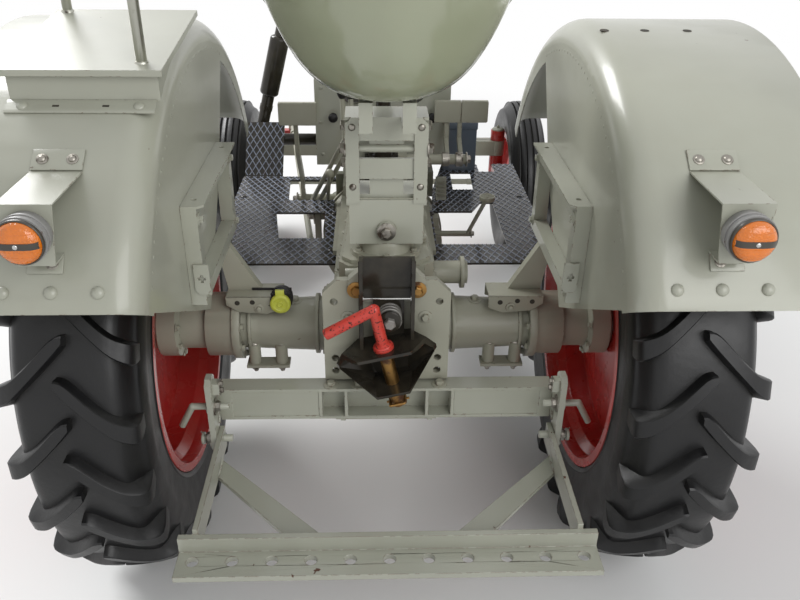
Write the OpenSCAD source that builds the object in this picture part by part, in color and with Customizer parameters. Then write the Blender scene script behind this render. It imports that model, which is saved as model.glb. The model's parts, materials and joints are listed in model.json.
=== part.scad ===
// Vintage tractor seen from behind: open platform, pan seat, two fenders, drawbar frame and tow hitch.
// Millimetres. +Z up, +Y forward, +X to the tractor's right. The origin is on the ground, at the
// middle of the outline.

/* [Wheels] */
// Radius of a rear tyre at its lug tips
rear_tyre_r = 604; // [590:1:615]
// Section width of a rear tyre
rear_tyre_w = 262; // [240:1:280]
// Height of a rear lug
lug_h = 26; // [15:1:32]
// Lugs in each half of a rear tyre
lug_count = 22; // [16:1:24]
// Radius of the rear rim flange
rear_rim_r = 383; // [372:1:392]
// Width over the rear rim flanges
rear_rim_w = 236; // [220:1:240]
// Distance between the rear wheels' centre planes
rear_track = 1250; // [1230:5:1270]
// Radius of a front tyre
front_tyre_r = 364; // [350:1:372]
// Section width of a front tyre
front_tyre_w = 160; // [145:1:170]
// Radius of the front rim flange
front_rim_r = 222; // [214:1:228]
// Width over the front rim flanges
front_rim_w = 122; // [112:1:128]
// Distance between the front wheels' centre planes
front_track = 1290; // [1260:5:1320]
// Distance between the axles
wheelbase = 1720; // [1680:5:1780]
// Wall of a pressed rim
rim_wall = 6; // [4:1:8]

/* [Steering] */
// Distance from a kingpin to its wheel's centre plane
kingpin_offset = 100; // [95:1:110]
// Radius of a kingpin
kingpin_r = 19; // [16:1:22]
// Running clearance of pins and axles, on the radius
run_gap = 0.05; // [0.02:0.01:0.08]
// Clearance between the faces of pieces that turn on each other
face_gap = 0.6; // [0.4:0.1:1.5]
// Gap between a piece and its seat
seat_gap = 0.3; // [0.2:0.05:0.5]
// Length of the tie rod arms
tie_arm = 130; // [120:1:140]
// Length of the steering arm and of the drop arm
steer_arm = 150; // [140:1:160]
// Height of the front axle beam's centre
beam_z = 526; // [515:1:535]
// Radius of the steering wheel
wheel_r = 200; // [180:1:210]
// Radius of the steering wheel's rim
wheel_rim_r = 13; // [10:1:15]
// Steepness of the steering column, from level
column_tilt = 67; // [62:1:70]

/* [Bodywork] */
// Outer radius of a fender about the rear axle
fender_r = 765; // [750:1:780]
// Distance from the middle to a fender's inner wall
fender_in = 420; // [410:1:430]
// Distance from the middle to a fender's outer edge
fender_out = 800; // [790:1:820]
// Radius of the fender's inner edge
fender_edge_r = 56; // [40:1:70]
// Sheet thickness of fenders and panels
sheet = 3; // [2:0.5:4]
// Half width of the bonnet
bonnet_half = 205; // [190:1:220]
// Height of the bonnet's ridge
bonnet_top = 1215; // [1190:1:1240]
// Half width of the seat pan
seat_half = 245; // [230:1:255]
// Height of the seat pan's bottom
seat_z = 1258; // [1240:1:1290]
// Length of the passenger box
box_l = 346; // [320:1:360]
// Width of the passenger box
box_w = 272; // [250:1:285]

/* [Drawbar] */
// Distance from the rear axle back to the drawbar's rear edge
rear_reach = 695; // [690:1:720]
// Length of the drawbar
drawbar_l = 864; // [840:2:880]
// Width of the drawbar's flat
drawbar_w = 80; // [70:1:90]
// Thickness of the drawbar's flat and flange
drawbar_t = 14; // [10:1:18]
// Radius of the drawbar's holes
hole_r = 12.5; // [10:0.5:14]
// Distance between the drawbar's holes
hole_pitch = 80; // [75:1:82]
// Number of holes in the drawbar
hole_count = 11; // [3:2:11]
// Height of the drawbar's underside
drawbar_z = 420; // [400:1:440]
// Width of the hitch plate
plate_w = 296; // [280:1:310]
// Height of the hitch plate
plate_h = 272; // [260:1:290]
// Thickness of the hitch plate
plate_t = 18; // [12:1:22]
// Radius of the hitch pin
pin_r = 15; // [12:0.5:18]

/* [Hidden] */
$fn = 48;

paint = "#a5a696";
dark = "#2b2b2b";
red = "#a50a0f";
steel = "#8a8a86";

rear_y = (rear_reach - wheelbase - front_tyre_r) / 2;
front_y = rear_y + wheelbase;
rear_z = rear_tyre_r;
front_z = front_tyre_r;
kingpin_x = front_track / 2 - kingpin_offset;

// Gearbox case, bell housing and axle trumpets
bell_y = rear_y + 600;
bell_r = 190;
bell_z = 600;
bell_top = 800;
case_half = 128;
case_top = 770;
case_bottom = 430;
case_back = rear_y - 190;
top_z = 862;
trumpet_r = 62;
trumpet_flange = 392;
brake_out = 460;

// Engine, cowl and bonnet
engine_half = 150;
engine_front = rear_y + 1330;
cowl_y = rear_y + 560;
cowl_t = 90;
cowl_low = 846;
bonnet_low = 930;
nose_y = front_y + 160;
grille_t = 40;
hood_r = 110;
hinge_y = cowl_y + cowl_t + 6;
hinge_pin_y = hinge_y - 3;
hinge_pin_z = bonnet_top + 11;
hinge_x = 96;
bonnet_front = nose_y - grille_t - 8;
front_slant = 58;

// Steering column, and the drop arm on the left of the bell housing
column_r = 21;
column_foot = [0, rear_y + 520, 880];
column_l = 560;
wheel_centre = column_foot + column_l * [0, -cos(column_tilt), sin(column_tilt)];
drop_x = -208;
drop_pivot_y = rear_y + 560;
drop_pivot_z = 680;
drop_ball_z = drop_pivot_z - steer_arm;
link_x = -kingpin_x + steer_arm;

// Seat and platform
pedestal_y = rear_y - 90;
seat_foot_z = 905;
seat_y = rear_y - 205;
deck_z = 722;
deck_t = 6;
deck_out = rear_track / 2 - rear_tyre_w / 2 - 18;
deck_in = 132;
deck_back = 116;

// Fender frames
frame_out = fender_in - seat_gap;
frame_in = 387;
frame_front = 106;
frame_back = -314;
frame_top = 1060;
frame_low = 838;

// Cylinder along X from x0 to x1 at [y, z]
module bar_x(x0, x1, y, z, r, r2 = -1) {
    translate([x0, y, z]) rotate([0, 90, 0]) cylinder(h = x1 - x0, r1 = r, r2 = r2 < 0 ? r : r2);
}

// Cylinder along Y from y0 to y1 at [x, z]
module bar_y(y0, y1, x, z, r, r2 = -1) {
    translate([x, y1, z]) rotate([90, 0, 0]) cylinder(h = y1 - y0, r1 = r2 < 0 ? r : r2, r2 = r);
}

// Cylinder along Z from z0 to z1 at [x, y]
module bar_z(z0, z1, x, y, r, r2 = -1) {
    translate([x, y, z0]) cylinder(h = z1 - z0, r1 = r, r2 = r2 < 0 ? r : r2);
}

// Round rod from point a to point b
module rod(a, b, r) {
    d = b - a;
    l = norm(d);
    translate(a)
        rotate([0, acos(d.z / l), atan2(d.y, d.x)])
            cylinder(h = l, r = r, $fn = 24);
}

// Round rod through the points of a list, with ball joints at the bends
module bent_rod(points, r) {
    for (i = [0 : len(points) - 2])
        rod(points[i], points[i + 1], r);
    for (i = [1 : 1 : len(points) - 2])
        translate(points[i]) sphere(r = r + 0.4, $fn = 24);
}

// Box between two corners
module block(a, b) {
    translate([min(a.x, b.x), min(a.y, b.y), min(a.z, b.z)])
        cube([abs(b.x - a.x), abs(b.y - a.y), abs(b.z - a.z)]);
}

// Plate whose outline is given as [y, z] points, from x0 to x1
module plate_x(points, x0, x1) {
    translate([min(x0, x1), 0, 0])
        rotate([90, 0, 90]) linear_extrude(height = abs(x1 - x0)) polygon(points);
}

// Plate whose outline is given as [x, z] points, from y0 to y1
module plate_y(points, y0, y1) {
    translate([0, max(y0, y1), 0])
        rotate([90, 0, 0]) linear_extrude(height = abs(y1 - y0)) polygon(points);
}

// Its child on the right, and its mirror image on the left
module both() {
    children();
    mirror([1, 0, 0]) children();
}

/* Wheels */

// Solid of revolution about the X axis at [x, y, z]: the child's first coordinate is the radius
module turned(x, y, z) {
    translate([x, y, z]) rotate([0, 90, 0]) rotate_extrude($fn = 96) children();
}

// Half outline of a tyre's section from the flank to the crown, as [radius, distance from the middle]
function tyre_half(r, w, rim_r) =
    let (belly = rim_r + (r - rim_r) * 0.48, shoulder = r - w * 0.2)
    [
        [belly - 30, w / 2 - 6], [belly, w / 2], [belly + 34, w / 2 - 4], [shoulder, w / 2 - 14],
        [r - 14, w / 2 - 34], [r - 3, w / 4], [r, 0]
    ];

// Cross-section of a tyre from the bead at rim_r to the crown at r
module tyre_section(r, w, rim_r, rim_w) {
    in = rim_w / 2 - rim_wall - 0.3;
    half = tyre_half(r, w, rim_r);
    polygon(concat(
        [[rim_r - 15.7, -in], [rim_r + 1, -in], [rim_r + 1, -in - 5]],
        [for (p = half) [p.x, -p.y]],
        [for (i = [len(half) - 2 : -1 : 0]) half[i]],
        [[rim_r + 1, in + 5], [rim_r + 1, in], [rim_r - 15.7, in], [rim_r - 15.7, in - 20]],
        [[rim_r + 12, in - 24], [rim_r + 12, -in + 24], [rim_r - 15.7, -in + 20]]
    ));
}

// Sections of a lug from its tip near the middle out to its foot on the flank. Columns: distance out at the
// top, drop of the top, distance out at the root, drop of the root, lag in degrees, half width at the top,
// half width at the root
lug_out = rear_tyre_w / 2;
lug_half = 18;
lug_sections = [
    [-10, 0, -10, lug_h + 8, -1.6, 9, 15],
    [12, 0, 12, lug_h + 8, 0, lug_half, 24],
    [58, 3, 58, lug_h + 10, 4.6, lug_half, 25],
    [lug_out - 33, 11, lug_out - 37, lug_h + 26, 8, 20, 27],
    [lug_out + 2, 34, lug_out - 27, lug_h + 46, 9.6, 22, 30],
    [lug_out - 4, lug_h + 78, lug_out - 31, lug_h + 86, 9.8, 20, 28]
];

// Point at distance x from a tyre's middle and radius r, off along the tread from angle a
function tread_point(x, r, a, off) = let (b = a + asin(off / r)) [x, r * cos(b), r * sin(b)];

// Faces of a skin over rows of n points, closed at both ends
function skin(rows, n) = concat(
    [[for (j = [n - 1 : -1 : 0]) j]],
    [for (i = [0 : rows - 2]) for (j = [0 : n - 1])
        each let (a = i * n + j, b = i * n + (j + 1) % n) [[a, b, a + n], [b, b + n, a + n]]],
    [[for (j = [0 : n - 1]) (rows - 1) * n + j]]
);

// One lug of a rear tyre at angle a about the axle
module lug(a) {
    points = [for (s = lug_sections) let (root = rear_tyre_r - s[3], top = rear_tyre_r - s[1], b = a + s[4]) each [
        tread_point(s[2], root, b, -s[6]), tread_point(s[2], root, b, s[6]),
        tread_point(s[0], top, b, s[5]), tread_point(s[0], top, b, -s[5])
    ]];
    polyhedron(points = points, faces = skin(len(lug_sections), 4));
}

// Lugs in two staggered halves. One lug's corner is the tyre's lowest point
module lugs() {
    pitch = 360 / lug_count;
    start = 270 - asin(lug_half / rear_tyre_r);
    for (i = [0 : lug_count - 1]) {
        lug(start + i * pitch);
        mirror([1, 0, 0]) lug(start + (i + 0.5) * pitch);
    }
}

// Cross-section of a rim: flanges, seats, well and a dished disc out to disc_x
module rim_section(r, w, well, disc_x, hub_r) {
    t = rim_wall;
    polygon([
        [r, -w / 2], [r, -w / 2 + t], [r - 16, -w / 2 + t], [r - 18, -w / 2 + 34], [r - well, -w / 2 + 52],
        [r - well, w / 2 - 52], [r - 18, w / 2 - 34], [r - 16, w / 2 - t], [r, w / 2 - t], [r, w / 2],
        [r - 22, w / 2], [r - 24, w / 2 - 34], [r - well - t, w / 2 - 56], [r - well - t, disc_x + t],
        [hub_r + 60, disc_x - 26 + t], [hub_r, disc_x - 26 + t], [hub_r, disc_x - 26 - t],
        [hub_r + 60, disc_x - 26 - t], [r - well - t, disc_x - t], [r - well - t, -w / 2 + 56],
        [r - 24, -w / 2 + 34], [r - 22, -w / 2]
    ]);
}

// Rear tyre: smooth carcass and chevron lugs
module rear_tyre(side) {
    color(dark) {
        turned(side * rear_track / 2, rear_y, rear_z)
            tyre_section(rear_tyre_r - lug_h, rear_tyre_w, rear_rim_r, rear_rim_w);
        translate([side * rear_track / 2, rear_y, rear_z]) scale_x(side) lugs();
    }
}

hub_in = brake_out + seat_gap;

module rear_rim(side) {
    color(red) {
        turned(side * rear_track / 2, rear_y, rear_z)
            rim_section(rear_rim_r, rear_rim_w, 38, 0, 60);
    }
    color(steel)
        translate([side > 0 ? hub_in : -rear_track / 2 - 56, rear_y, rear_z]) rotate([0, 90, 0])
            cylinder(h = rear_track / 2 + 56 - hub_in, r = 64);
}

front_hub_in = 36;
front_bore_r = 17;

// Front tyre with grooves between its ribs
module front_tyre(side) {
    color(dark)
        turned(side * front_track / 2, front_y, front_z)
            difference() {
                tyre_section(front_tyre_r, front_tyre_w, front_rim_r, front_rim_w);
                for (x = [-39, -14, 14, 39])
                    translate([front_tyre_r - 16, x - 4]) square([20, 8]);
            }
}

module front_rim(side) {
    color(red)
        turned(side * front_track / 2, front_y, front_z)
            rim_section(front_rim_r, front_rim_w, 24, 0, 40);
    color(red)
        translate([side * front_track / 2, front_y, front_z]) rotate([0, side * 90, 0])
            difference() {
                translate([0, 0, front_hub_in - kingpin_offset]) cylinder(h = kingpin_offset, r = 44);
                translate([0, 0, -kingpin_offset]) cylinder(h = kingpin_offset + 18, r = front_bore_r + run_gap);
            }
}

/* Front axle and steering */

knuckle_boss_r = 32;
beam_half_h = 34;
eye_gap = face_gap;
pin_top = beam_z + beam_half_h + 46;
tie_z = front_z + 66;

// Right-hand knuckle: kingpin through the beam's eye, cap, lower boss and stub axle
module knuckle(side) {
    low = beam_z - beam_half_h - eye_gap;
    color(red) translate([side * kingpin_x, front_y, 0]) scale_x(side) {
        bar_z(low, beam_z + beam_half_h + eye_gap + 2, 0, 0, kingpin_r);
        bar_z(front_z - 44, low, 0, 0, knuckle_boss_r);
        bar_z(beam_z + beam_half_h + eye_gap, pin_top, 0, 0, knuckle_boss_r);
        bar_x(0, kingpin_offset + 14, 0, front_z, front_bore_r);
        bar_x(0, front_hub_in - face_gap, 0, front_z, 36);
        hull() {
            bar_z(tie_z - 11, tie_z + 11, 0, 0, 26);
            bar_z(tie_z - 11, tie_z + 11, 0, -tie_arm, 17);
        }
        bar_z(tie_z - 11 - face_gap - eye_h, tie_z, 0, -tie_arm, stud_r);
        if (side < 0) {
            hull() {
                bar_z(pin_top - 22, pin_top, 0, 0, 26);
                bar_z(pin_top - 22, pin_top, -steer_arm, 0, 17);
            }
            bar_z(pin_top - 10, pin_top + face_gap + eye_h, -steer_arm, 0, stud_r);
        }
    }
}

// Mirror about X for side -1
module scale_x(side) {
    if (side < 0)
        mirror([1, 0, 0]) children();
    else
        children();
}

stud_r = 9;
eye_h = 30;
eye_r = 19;

// Tie rod behind the axle: a tube with an eye at each end, hung on the knuckles' studs
module tie_rod() {
    top = tie_z - 11 - face_gap;
    color(steel) difference() {
        union() {
            bar_x(-kingpin_x, kingpin_x, front_y - tie_arm, top - eye_h / 2, 12);
            both() bar_z(top - eye_h, top, kingpin_x, front_y - tie_arm, eye_r);
        }
        both() bar_z(top - eye_h - 1, top + 1, kingpin_x, front_y - tie_arm, stud_r + run_gap);
    }
}

// Drag link from the left knuckle's steering arm back to the drop arm
module drag_link() {
    low = pin_top + face_gap;
    a = [link_x, front_y, low + eye_h / 2];
    b = [drop_x - 10 - face_gap - 13, drop_pivot_y, drop_ball_z];
    color(steel) difference() {
        union() {
            rod(a, b, 11);
            bar_z(low, low + eye_h, a.x, a.y, eye_r);
            bar_x(b.x - 13, b.x + 13, b.y, b.z, eye_r);
        }
        bar_z(low - 1, low + eye_h + 1, a.x, a.y, stud_r + run_gap);
    }
}

// Drop arm on the side of the steering box
module drop_arm() {
    color(steel) {
        hull() {
            bar_x(drop_x - 10, drop_x + 8, drop_pivot_y, drop_pivot_z, 26);
            bar_x(drop_x - 10, drop_x + 8, drop_pivot_y, drop_ball_z, eye_r);
        }
    }
}

boss_half = 46;

// Front axle beam with an eye at each end and a pivot boss in the middle
module front_axle() {
    color(paint) difference() {
        union() {
            block([-kingpin_x, front_y - 30, beam_z - beam_half_h], [kingpin_x, front_y + 30, beam_z + beam_half_h]);
            both() bar_z(beam_z - beam_half_h, beam_z + beam_half_h, kingpin_x, front_y, 34);
            bar_y(front_y - boss_half, front_y + boss_half, 0, beam_z, 52);
        }
        bar_y(front_y - boss_half - 1, front_y + boss_half + 1, 0, beam_z, 20 + run_gap);
        both() bar_z(beam_z - beam_half_h - 1, beam_z + beam_half_h + 1, kingpin_x, front_y, kingpin_r + run_gap);
    }
}

// Cast bracket that carries the axle and the radiator, ahead of the engine
bracket_front = front_y + 190;
shelf_z = 706;
radiator_y = rear_y + 1460;
radiator_top = 1110;

module front_bracket() {
    color(paint) {
        difference() {
            union() {
                block([-120, engine_front, 600], [120, bracket_front, shelf_z - 16]);
                block([-190, front_y - 90, shelf_z - 16], [190, front_y + 172, shelf_z]);
                for (s = [-1, 1])
                    block([-58, front_y + s * (boss_half + seat_gap), 460],
                        [58, front_y + s * (boss_half + 24), 600]);
                block([-150, radiator_y, shelf_z - 17], [150, radiator_y + 60, radiator_top]);
                block([-164, radiator_y - 12, radiator_top - 70], [164, radiator_y + 72, radiator_top]);
                bar_z(radiator_top, radiator_top + 16, 0, radiator_y + 30, 26);
            }
            block([-90, engine_front + 40, 599], [90, front_y - boss_half - 30, 660]);
            bar_z(590, 700, 0, bracket_front - 24, 14);
        }
        bar_y(front_y - boss_half - 30, front_y + boss_half + 30, 0, beam_z, 20);
    }
}

/* Driveline */

// Gearbox case with bell housing, top cover, filler, seat pedestal and lever shaft housing
module gearbox() {
    color(paint) {
        block([-case_half, case_back, case_bottom], [case_half, bell_y - 90, case_top]);
        bar_y(bell_y - 110, bell_y, 0, bell_z, bell_r);
        bar_y(bell_y - 16, bell_y, 0, bell_z, bell_r + 6);
        bar_x(drop_x + 8 + face_gap, -engine_half, drop_pivot_y, drop_pivot_z, 19);
        block([-124, bell_y - 110, 600], [124, bell_y, bell_top]);
        translate([0, 0, case_top]) linear_extrude(height = 18)
            top_cover_outline(124);
        translate([0, 0, case_top]) linear_extrude(height = top_z - 10 - case_top)
            top_cover_outline(112);
        translate([0, 0, case_top]) linear_extrude(height = top_z - case_top)
            top_cover_outline(104);
        bar_x(-96, 8, case_back + 24, top_z - 30, 17);
        bar_z(top_z - 1, top_z + 8, 80, rear_y - 37, 19);
        bar_z(top_z, top_z + 18, 80, rear_y - 37, 11);
        bar_z(top_z - 20, top_z + 14, 0, pedestal_y, 84);
        bar_z(top_z, seat_foot_z, 0, pedestal_y, 70, 58);
        block([-70, rear_y + 300, case_top], [70, bell_y - 110, bell_top]);
        bar_x(case_half, 214, rear_y + 36, case_top - 34, 30);
        bar_x(196, 206, rear_y + 36, case_top - 34, 42);
        both() {
            block([case_half, rear_y + 150, case_top - 40], [case_half + 14, rear_y + 470, case_top - 26]);
            for (y = [deck_back + 60, 440])
                block([case_half, rear_y + y, deck_z - deck_t - 30], [case_half + 44, rear_y + y + 40, deck_z - deck_t]);
            for (z = [case_bottom + 50, case_top - 70])
                block([case_half, rear_y + 130, z], [case_half + 9, bell_y - 110, z + 14]);
        }
    }
}

// Plan of the gearbox's top cover at half width h behind, narrower in front, with cut corners
module top_cover_outline(h) {
    c = 22;
    y0 = case_back + 146 - h;
    y1 = rear_y + 236 + h;
    front = h - 22;
    polygon([
        [-h + c, y0], [h - c, y0], [h, y0 + c], [front, y1 - c], [front - c, y1], [-front + c, y1],
        [-front, y1 - c], [-h, y0 + c]
    ]);
}

// Axle trumpets: tube, ringed flanges, brake housing, clamp bosses on their strap, and the fenders' stays
module axle_trumpets() {
    color(paint) both() {
        bar_x(case_half, trumpet_flange, rear_y, rear_z, trumpet_r + 12, trumpet_r);
        bar_x(case_half + 9, case_half + 24, rear_y, rear_z, 104);
        bar_x(case_half, case_half + 10, rear_y, rear_z, 96);
        bar_x(case_half + 44, case_half + 54, rear_y, rear_z, trumpet_r + 18);
        bar_x(trumpet_flange - 46, trumpet_flange - 38, rear_y, rear_z, trumpet_r + 9);
        bar_x(trumpet_flange - 20, trumpet_flange, rear_y, rear_z, 92);
        bar_x(trumpet_flange, brake_out, rear_y, rear_z, 84);
        for (x = [273, 343])
            bar_z(rear_z - 90, rear_z - 30, x, rear_y - 50, 16);
        block([252, rear_y - 70, rear_z - 96], [364, rear_y - 28, rear_z - 88]);
        plate_y([[280, rear_z + 50], [390, rear_z + 50], [frame_out, frame_low], [frame_in, frame_low]],
            rear_y - 20, rear_y + 4);
    }
}

sump_z = 420;
engine_top = 1050;

// Engine: ribbed sump, crankcase, three cylinders with their rocker covers, manifold, pump, filter, starter
// and belt pulley
module engine_block() {
    head_y = cowl_y + cowl_t + 60;
    pitch = (engine_front - 50 - head_y) / 3;
    color("#6f7268") {
        block([-engine_half, bell_y, 500], [engine_half, bell_y + 30, 800]);
        block([-128, bell_y + 30, 500], [128, engine_front, 800]);
        block([-engine_half, engine_front - 30, 520], [engine_half, engine_front, 790]);
        block([-112, bell_y + 60, sump_z], [112, engine_front - 90, 500]);
        for (y = [bell_y + 110 : 90 : engine_front - 150])
            block([-122, y, sump_z + 10], [122, y + 12, 505]);
        block([-100, head_y - 10, 800], [100, engine_front - 40, 930]);
        for (i = [0 : 2]) {
            y = head_y + i * pitch;
            block([-108, y, 930], [108, y + pitch - 12, 1006]);
            block([-62, y + 14, 1006], [62, y + pitch - 26, engine_top]);
            bar_x(108, 124, y + pitch / 2 - 6, 962, 22);
        }
        bar_y(head_y + 20, engine_front - 60, -122, 964, 26);
        block([-122, rear_y + 985, 800], [-96, rear_y + 1035, 964]);
        bar_x(-engine_half, -110, rear_y + 1010, 785, 30);
        bar_y(bell_y + 30, bell_y + 240, -146, 610, 42);
        bar_y(bell_y + 30, bell_y + 130, -112, 660, 22);
        block([128, bell_y + 210, 640], [180, bell_y + 420, 730]);
        for (y = [bell_y + 240 : 45 : bell_y + 390])
            bar_z(730, 776, 154, y, 11);
        bar_y(bell_y + 420, bell_y + 470, 154, 685, 34);
        bar_z(690, 800, 150, bell_y + 560, 34);
        block([110, bell_y + 545, 770], [150, bell_y + 575, 810]);
        bar_y(engine_front, engine_front + 34, 0, 756, 62);
        bar_y(engine_front - 60, engine_front + 30, 0, 880, 48);
        bar_y(engine_front + 30, engine_front + 44, 0, 880, 30);
    }
}

/* Bonnet, grille and cowl */

// Half outline of the bonnet's section at half width h and top z
function hood_outline(h, low, top, r, n = 8) = concat(
    [[h, low]],
    [for (i = [0 : n]) [h - r + r * cos(90 * i / n), top - r + r * sin(90 * i / n)]],
    [for (i = [n : -1 : 0]) [-h + r - r * cos(90 * i / n), top - r + r * sin(90 * i / n)]],
    [[-h, low]]
);

// Plan of a louvre at y, open behind, grown by t and shifted out of the sheet
module louvre_outline(y, t) {
    polygon([
        [bonnet_half - sheet - 1, y - t], [bonnet_half + 9 - t, y - t], [bonnet_half + 9 - t, y + 4],
        [bonnet_half - sheet - 1, y + 26 - t]
    ]);
}

// Sheet-metal bonnet with louvres in its sides, open below and behind, hinged at the cowl
module bonnet() {
    louvres = [for (i = [0 : 9]) hinge_y + 330 + i * 46];
    color(paint) {
        difference() {
            union() {
                plate_y(hood_outline(bonnet_half, bonnet_low, bonnet_top, hood_r), hinge_y, bonnet_front);
                both() for (y = louvres)
                    translate([0, 0, 996]) linear_extrude(height = 84) louvre_outline(y, 0);
                both() {
                    bar_x(hinge_x - 12, hinge_x + 12, hinge_pin_y, hinge_pin_z, 9);
                    block([hinge_x - 12, hinge_pin_y, bonnet_top + 5], [hinge_x + 12, hinge_y + 34, bonnet_top + 11]);
                    block([hinge_x - 12, hinge_y + 10, bonnet_top - 6], [hinge_x + 12, hinge_y + 34, bonnet_top + 6]);
                }
            }
            plate_y(
                hood_outline(bonnet_half - sheet, bonnet_low - 1, bonnet_top - sheet, hood_r - sheet),
                hinge_y - 1, bonnet_front + 1
            );
            both() bar_x(hinge_x - 13, hinge_x + 13, hinge_pin_y, hinge_pin_z, 5 + run_gap);
            both() for (y = louvres)
                translate([0, 0, 999]) linear_extrude(height = 78) louvre_outline(y, 2.5);
            plate_x([
                [bonnet_front, bonnet_top + 5], [bonnet_front - front_slant, bonnet_low - 1],
                [bonnet_front + 9, bonnet_low - 1], [bonnet_front + 9, bonnet_top + 5]
            ], -bonnet_half - 10, bonnet_half + 10);
        }
    }
}

// Cowl with the dash panel, standing on the bell housing
module cowl() {
    color(paint) {
        difference() {
            union() {
                plate_y(hood_outline(bonnet_half, cowl_low, bonnet_top, hood_r), cowl_y, cowl_y + cowl_t);
                both() {
                    block([92, cowl_y, bell_top], [120, cowl_y + 36, cowl_low + 1]);
                    for (x = [hinge_x - 12 - face_gap - 10, hinge_x + 12 + face_gap])
                        plate_x([[hinge_pin_y - 46, bonnet_top - 6], [hinge_y - 8, bonnet_top - 6],
                            [hinge_pin_y + 6, bonnet_top + 6], [hinge_pin_y + 8, hinge_pin_z],
                            [hinge_pin_y, hinge_pin_z + 8], [hinge_pin_y - 8, hinge_pin_z + 5]], x, x + 10);
                    bar_x(hinge_x - 23, hinge_x + 23, hinge_pin_y, hinge_pin_z, 5);
                }
            }
            plate_y(
                hood_outline(bonnet_half - sheet, cowl_low - 1, bonnet_top - sheet, hood_r - sheet),
                cowl_y + sheet, cowl_y + cowl_t + 1
            );
        }
    }
}

// Grille shell with upright bars
bar_count = 11;

module grille() {
    color(paint) {
        difference() {
            union() {
                plate_y(hood_outline(bonnet_half, shelf_z, bonnet_top, hood_r), nose_y - grille_t, nose_y);
                intersection() {
                    plate_y(hood_outline(bonnet_half, shelf_z, bonnet_top, hood_r), nose_y - 200, nose_y - grille_t);
                    plate_x([
                        [nose_y - grille_t, bonnet_top], [nose_y - grille_t - front_slant, bonnet_low],
                        [nose_y - 180, bonnet_low - 10], [nose_y - 180, shelf_z], [nose_y - grille_t, shelf_z]
                    ], -bonnet_half, bonnet_half);
                }
            }
            plate_y(
                hood_outline(bonnet_half - 34, shelf_z + 34, bonnet_top - 34, hood_r - 34),
                nose_y - grille_t, nose_y + 1
            );
            plate_y(
                hood_outline(bonnet_half - sheet, shelf_z - 1, bonnet_top - sheet, hood_r - sheet),
                nose_y - 201, nose_y - grille_t + 0.01
            );
        }
        for (i = [0 : bar_count - 1]) {
            x = (i - (bar_count - 1) / 2) * 30;
            block([x - 4, nose_y - 26, shelf_z + 30], [x + 4, nose_y - 12, bonnet_top - 30]);
        }
        for (z = [shelf_z + 150, shelf_z + 310])
            block([-bonnet_half + 30, nose_y - 30, z], [bonnet_half - 30, nose_y - 20, z + 12]);
    }
}

lamp_x = bonnet_half + 74;
lamp_y = front_y + 60;
lamp_z = 1010;

// Two headlamps on stalks beside the grille shell
module headlamps() {
    color(paint) both() {
        difference() {
            union() {
                bar_y(lamp_y - 10, lamp_y + 60, lamp_x, lamp_z, 68);
                bar_y(lamp_y - 60, lamp_y - 10, lamp_x, lamp_z, 36, 68);
            }
            bar_y(lamp_y, lamp_y + 61, lamp_x, lamp_z, 62);
        }
        bar_x(bonnet_half + 0.3, lamp_x - 40, lamp_y - 10, lamp_z, 12);
    }
}

module headlamp_lenses() {
    color("#d8dde0") both()
        bar_y(lamp_y + 30, lamp_y + 54, lamp_x, lamp_z, 61.7);
}

// Steering box and column, leaning back from the bell housing
module steering_column() {
    color(dark) {
        rod(column_foot, wheel_centre - 32 * [0, -cos(column_tilt), sin(column_tilt)], column_r);
    }
    color(paint) {
        block([-56, cowl_y - 76, bell_top], [56, cowl_y - 4, 884]);
    }
}

module steering_wheel() {
    color(dark)
        translate(wheel_centre) rotate([90 - column_tilt, 0, 0]) {
            rotate_extrude($fn = 72) translate([wheel_r - wheel_rim_r, 0]) circle(r = wheel_rim_r, $fn = 20);
            translate([0, 0, -30]) cylinder(h = 44, r = 30);
            for (a = [90, 210, 330])
                rotate([0, 0, a]) rotate([0, 90, 0]) translate([0, 0, 20])
                    cylinder(h = wheel_r - wheel_rim_r - 20, r = 7, $fn = 20);
        }
}

/* Seat */

// Rim height above the pan's bottom at angle a, where 90 is the front
function seat_rim(a) =
    let (back = (1 - sin(a)) / 2)
    40 + 165 * pow(abs(cos(a)), 1.4) * (0.45 + 0.55 * back) + 245 * pow(back, 2.2);

// Reach of the pan's rim from its middle at angle a
function seat_reach(a) = sin(a) > 0 ? 215 : 190;

// Point of the pan at fraction t of the way out and angle a, raised by lift
function seat_point(t, a, lift) = [
    seat_half * t * cos(a),
    seat_y + seat_reach(a) * t * sin(a),
    seat_z + seat_rim(a) * pow(t, 3.4) + lift
];

seat_rings = 9;
seat_steps = 40;

// Pan pressed from one sheet: two skins joined at the rim
module seat_pan() {
    top = [for (i = [1 : seat_rings]) for (j = [0 : seat_steps - 1])
        seat_point(i / seat_rings, 360 * j / seat_steps, 5)];
    low = [for (i = [1 : seat_rings]) for (j = [0 : seat_steps - 1])
        seat_point(i / seat_rings * 1.012, 360 * j / seat_steps, 0)];
    n = seat_steps;
    m = seat_rings * n;
    skins = concat(top, low, [[0, seat_y, seat_z + 5], [0, seat_y, seat_z]]);
    faces = concat(
        [for (i = [0 : seat_rings - 2]) for (j = [0 : n - 1])
            [i * n + j, i * n + (j + 1) % n, (i + 1) * n + (j + 1) % n, (i + 1) * n + j]],
        [for (i = [0 : seat_rings - 2]) for (j = [0 : n - 1])
            [m + (i + 1) * n + j, m + (i + 1) * n + (j + 1) % n, m + i * n + (j + 1) % n, m + i * n + j]],
        [for (j = [0 : n - 1])
            [m - n + j, m - n + (j + 1) % n, 2 * m - n + (j + 1) % n, 2 * m - n + j]],
        [for (j = [0 : n - 1]) [(j + 1) % n, j, 2 * m]],
        [for (j = [0 : n - 1]) [m + j, m + (j + 1) % n, 2 * m + 1]]
    );
    color("#9aa08c") polyhedron(points = skins, faces = faces);
}

// Sprung parallelogram frame between the pedestal and the pan
frame_half = 90;

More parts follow.
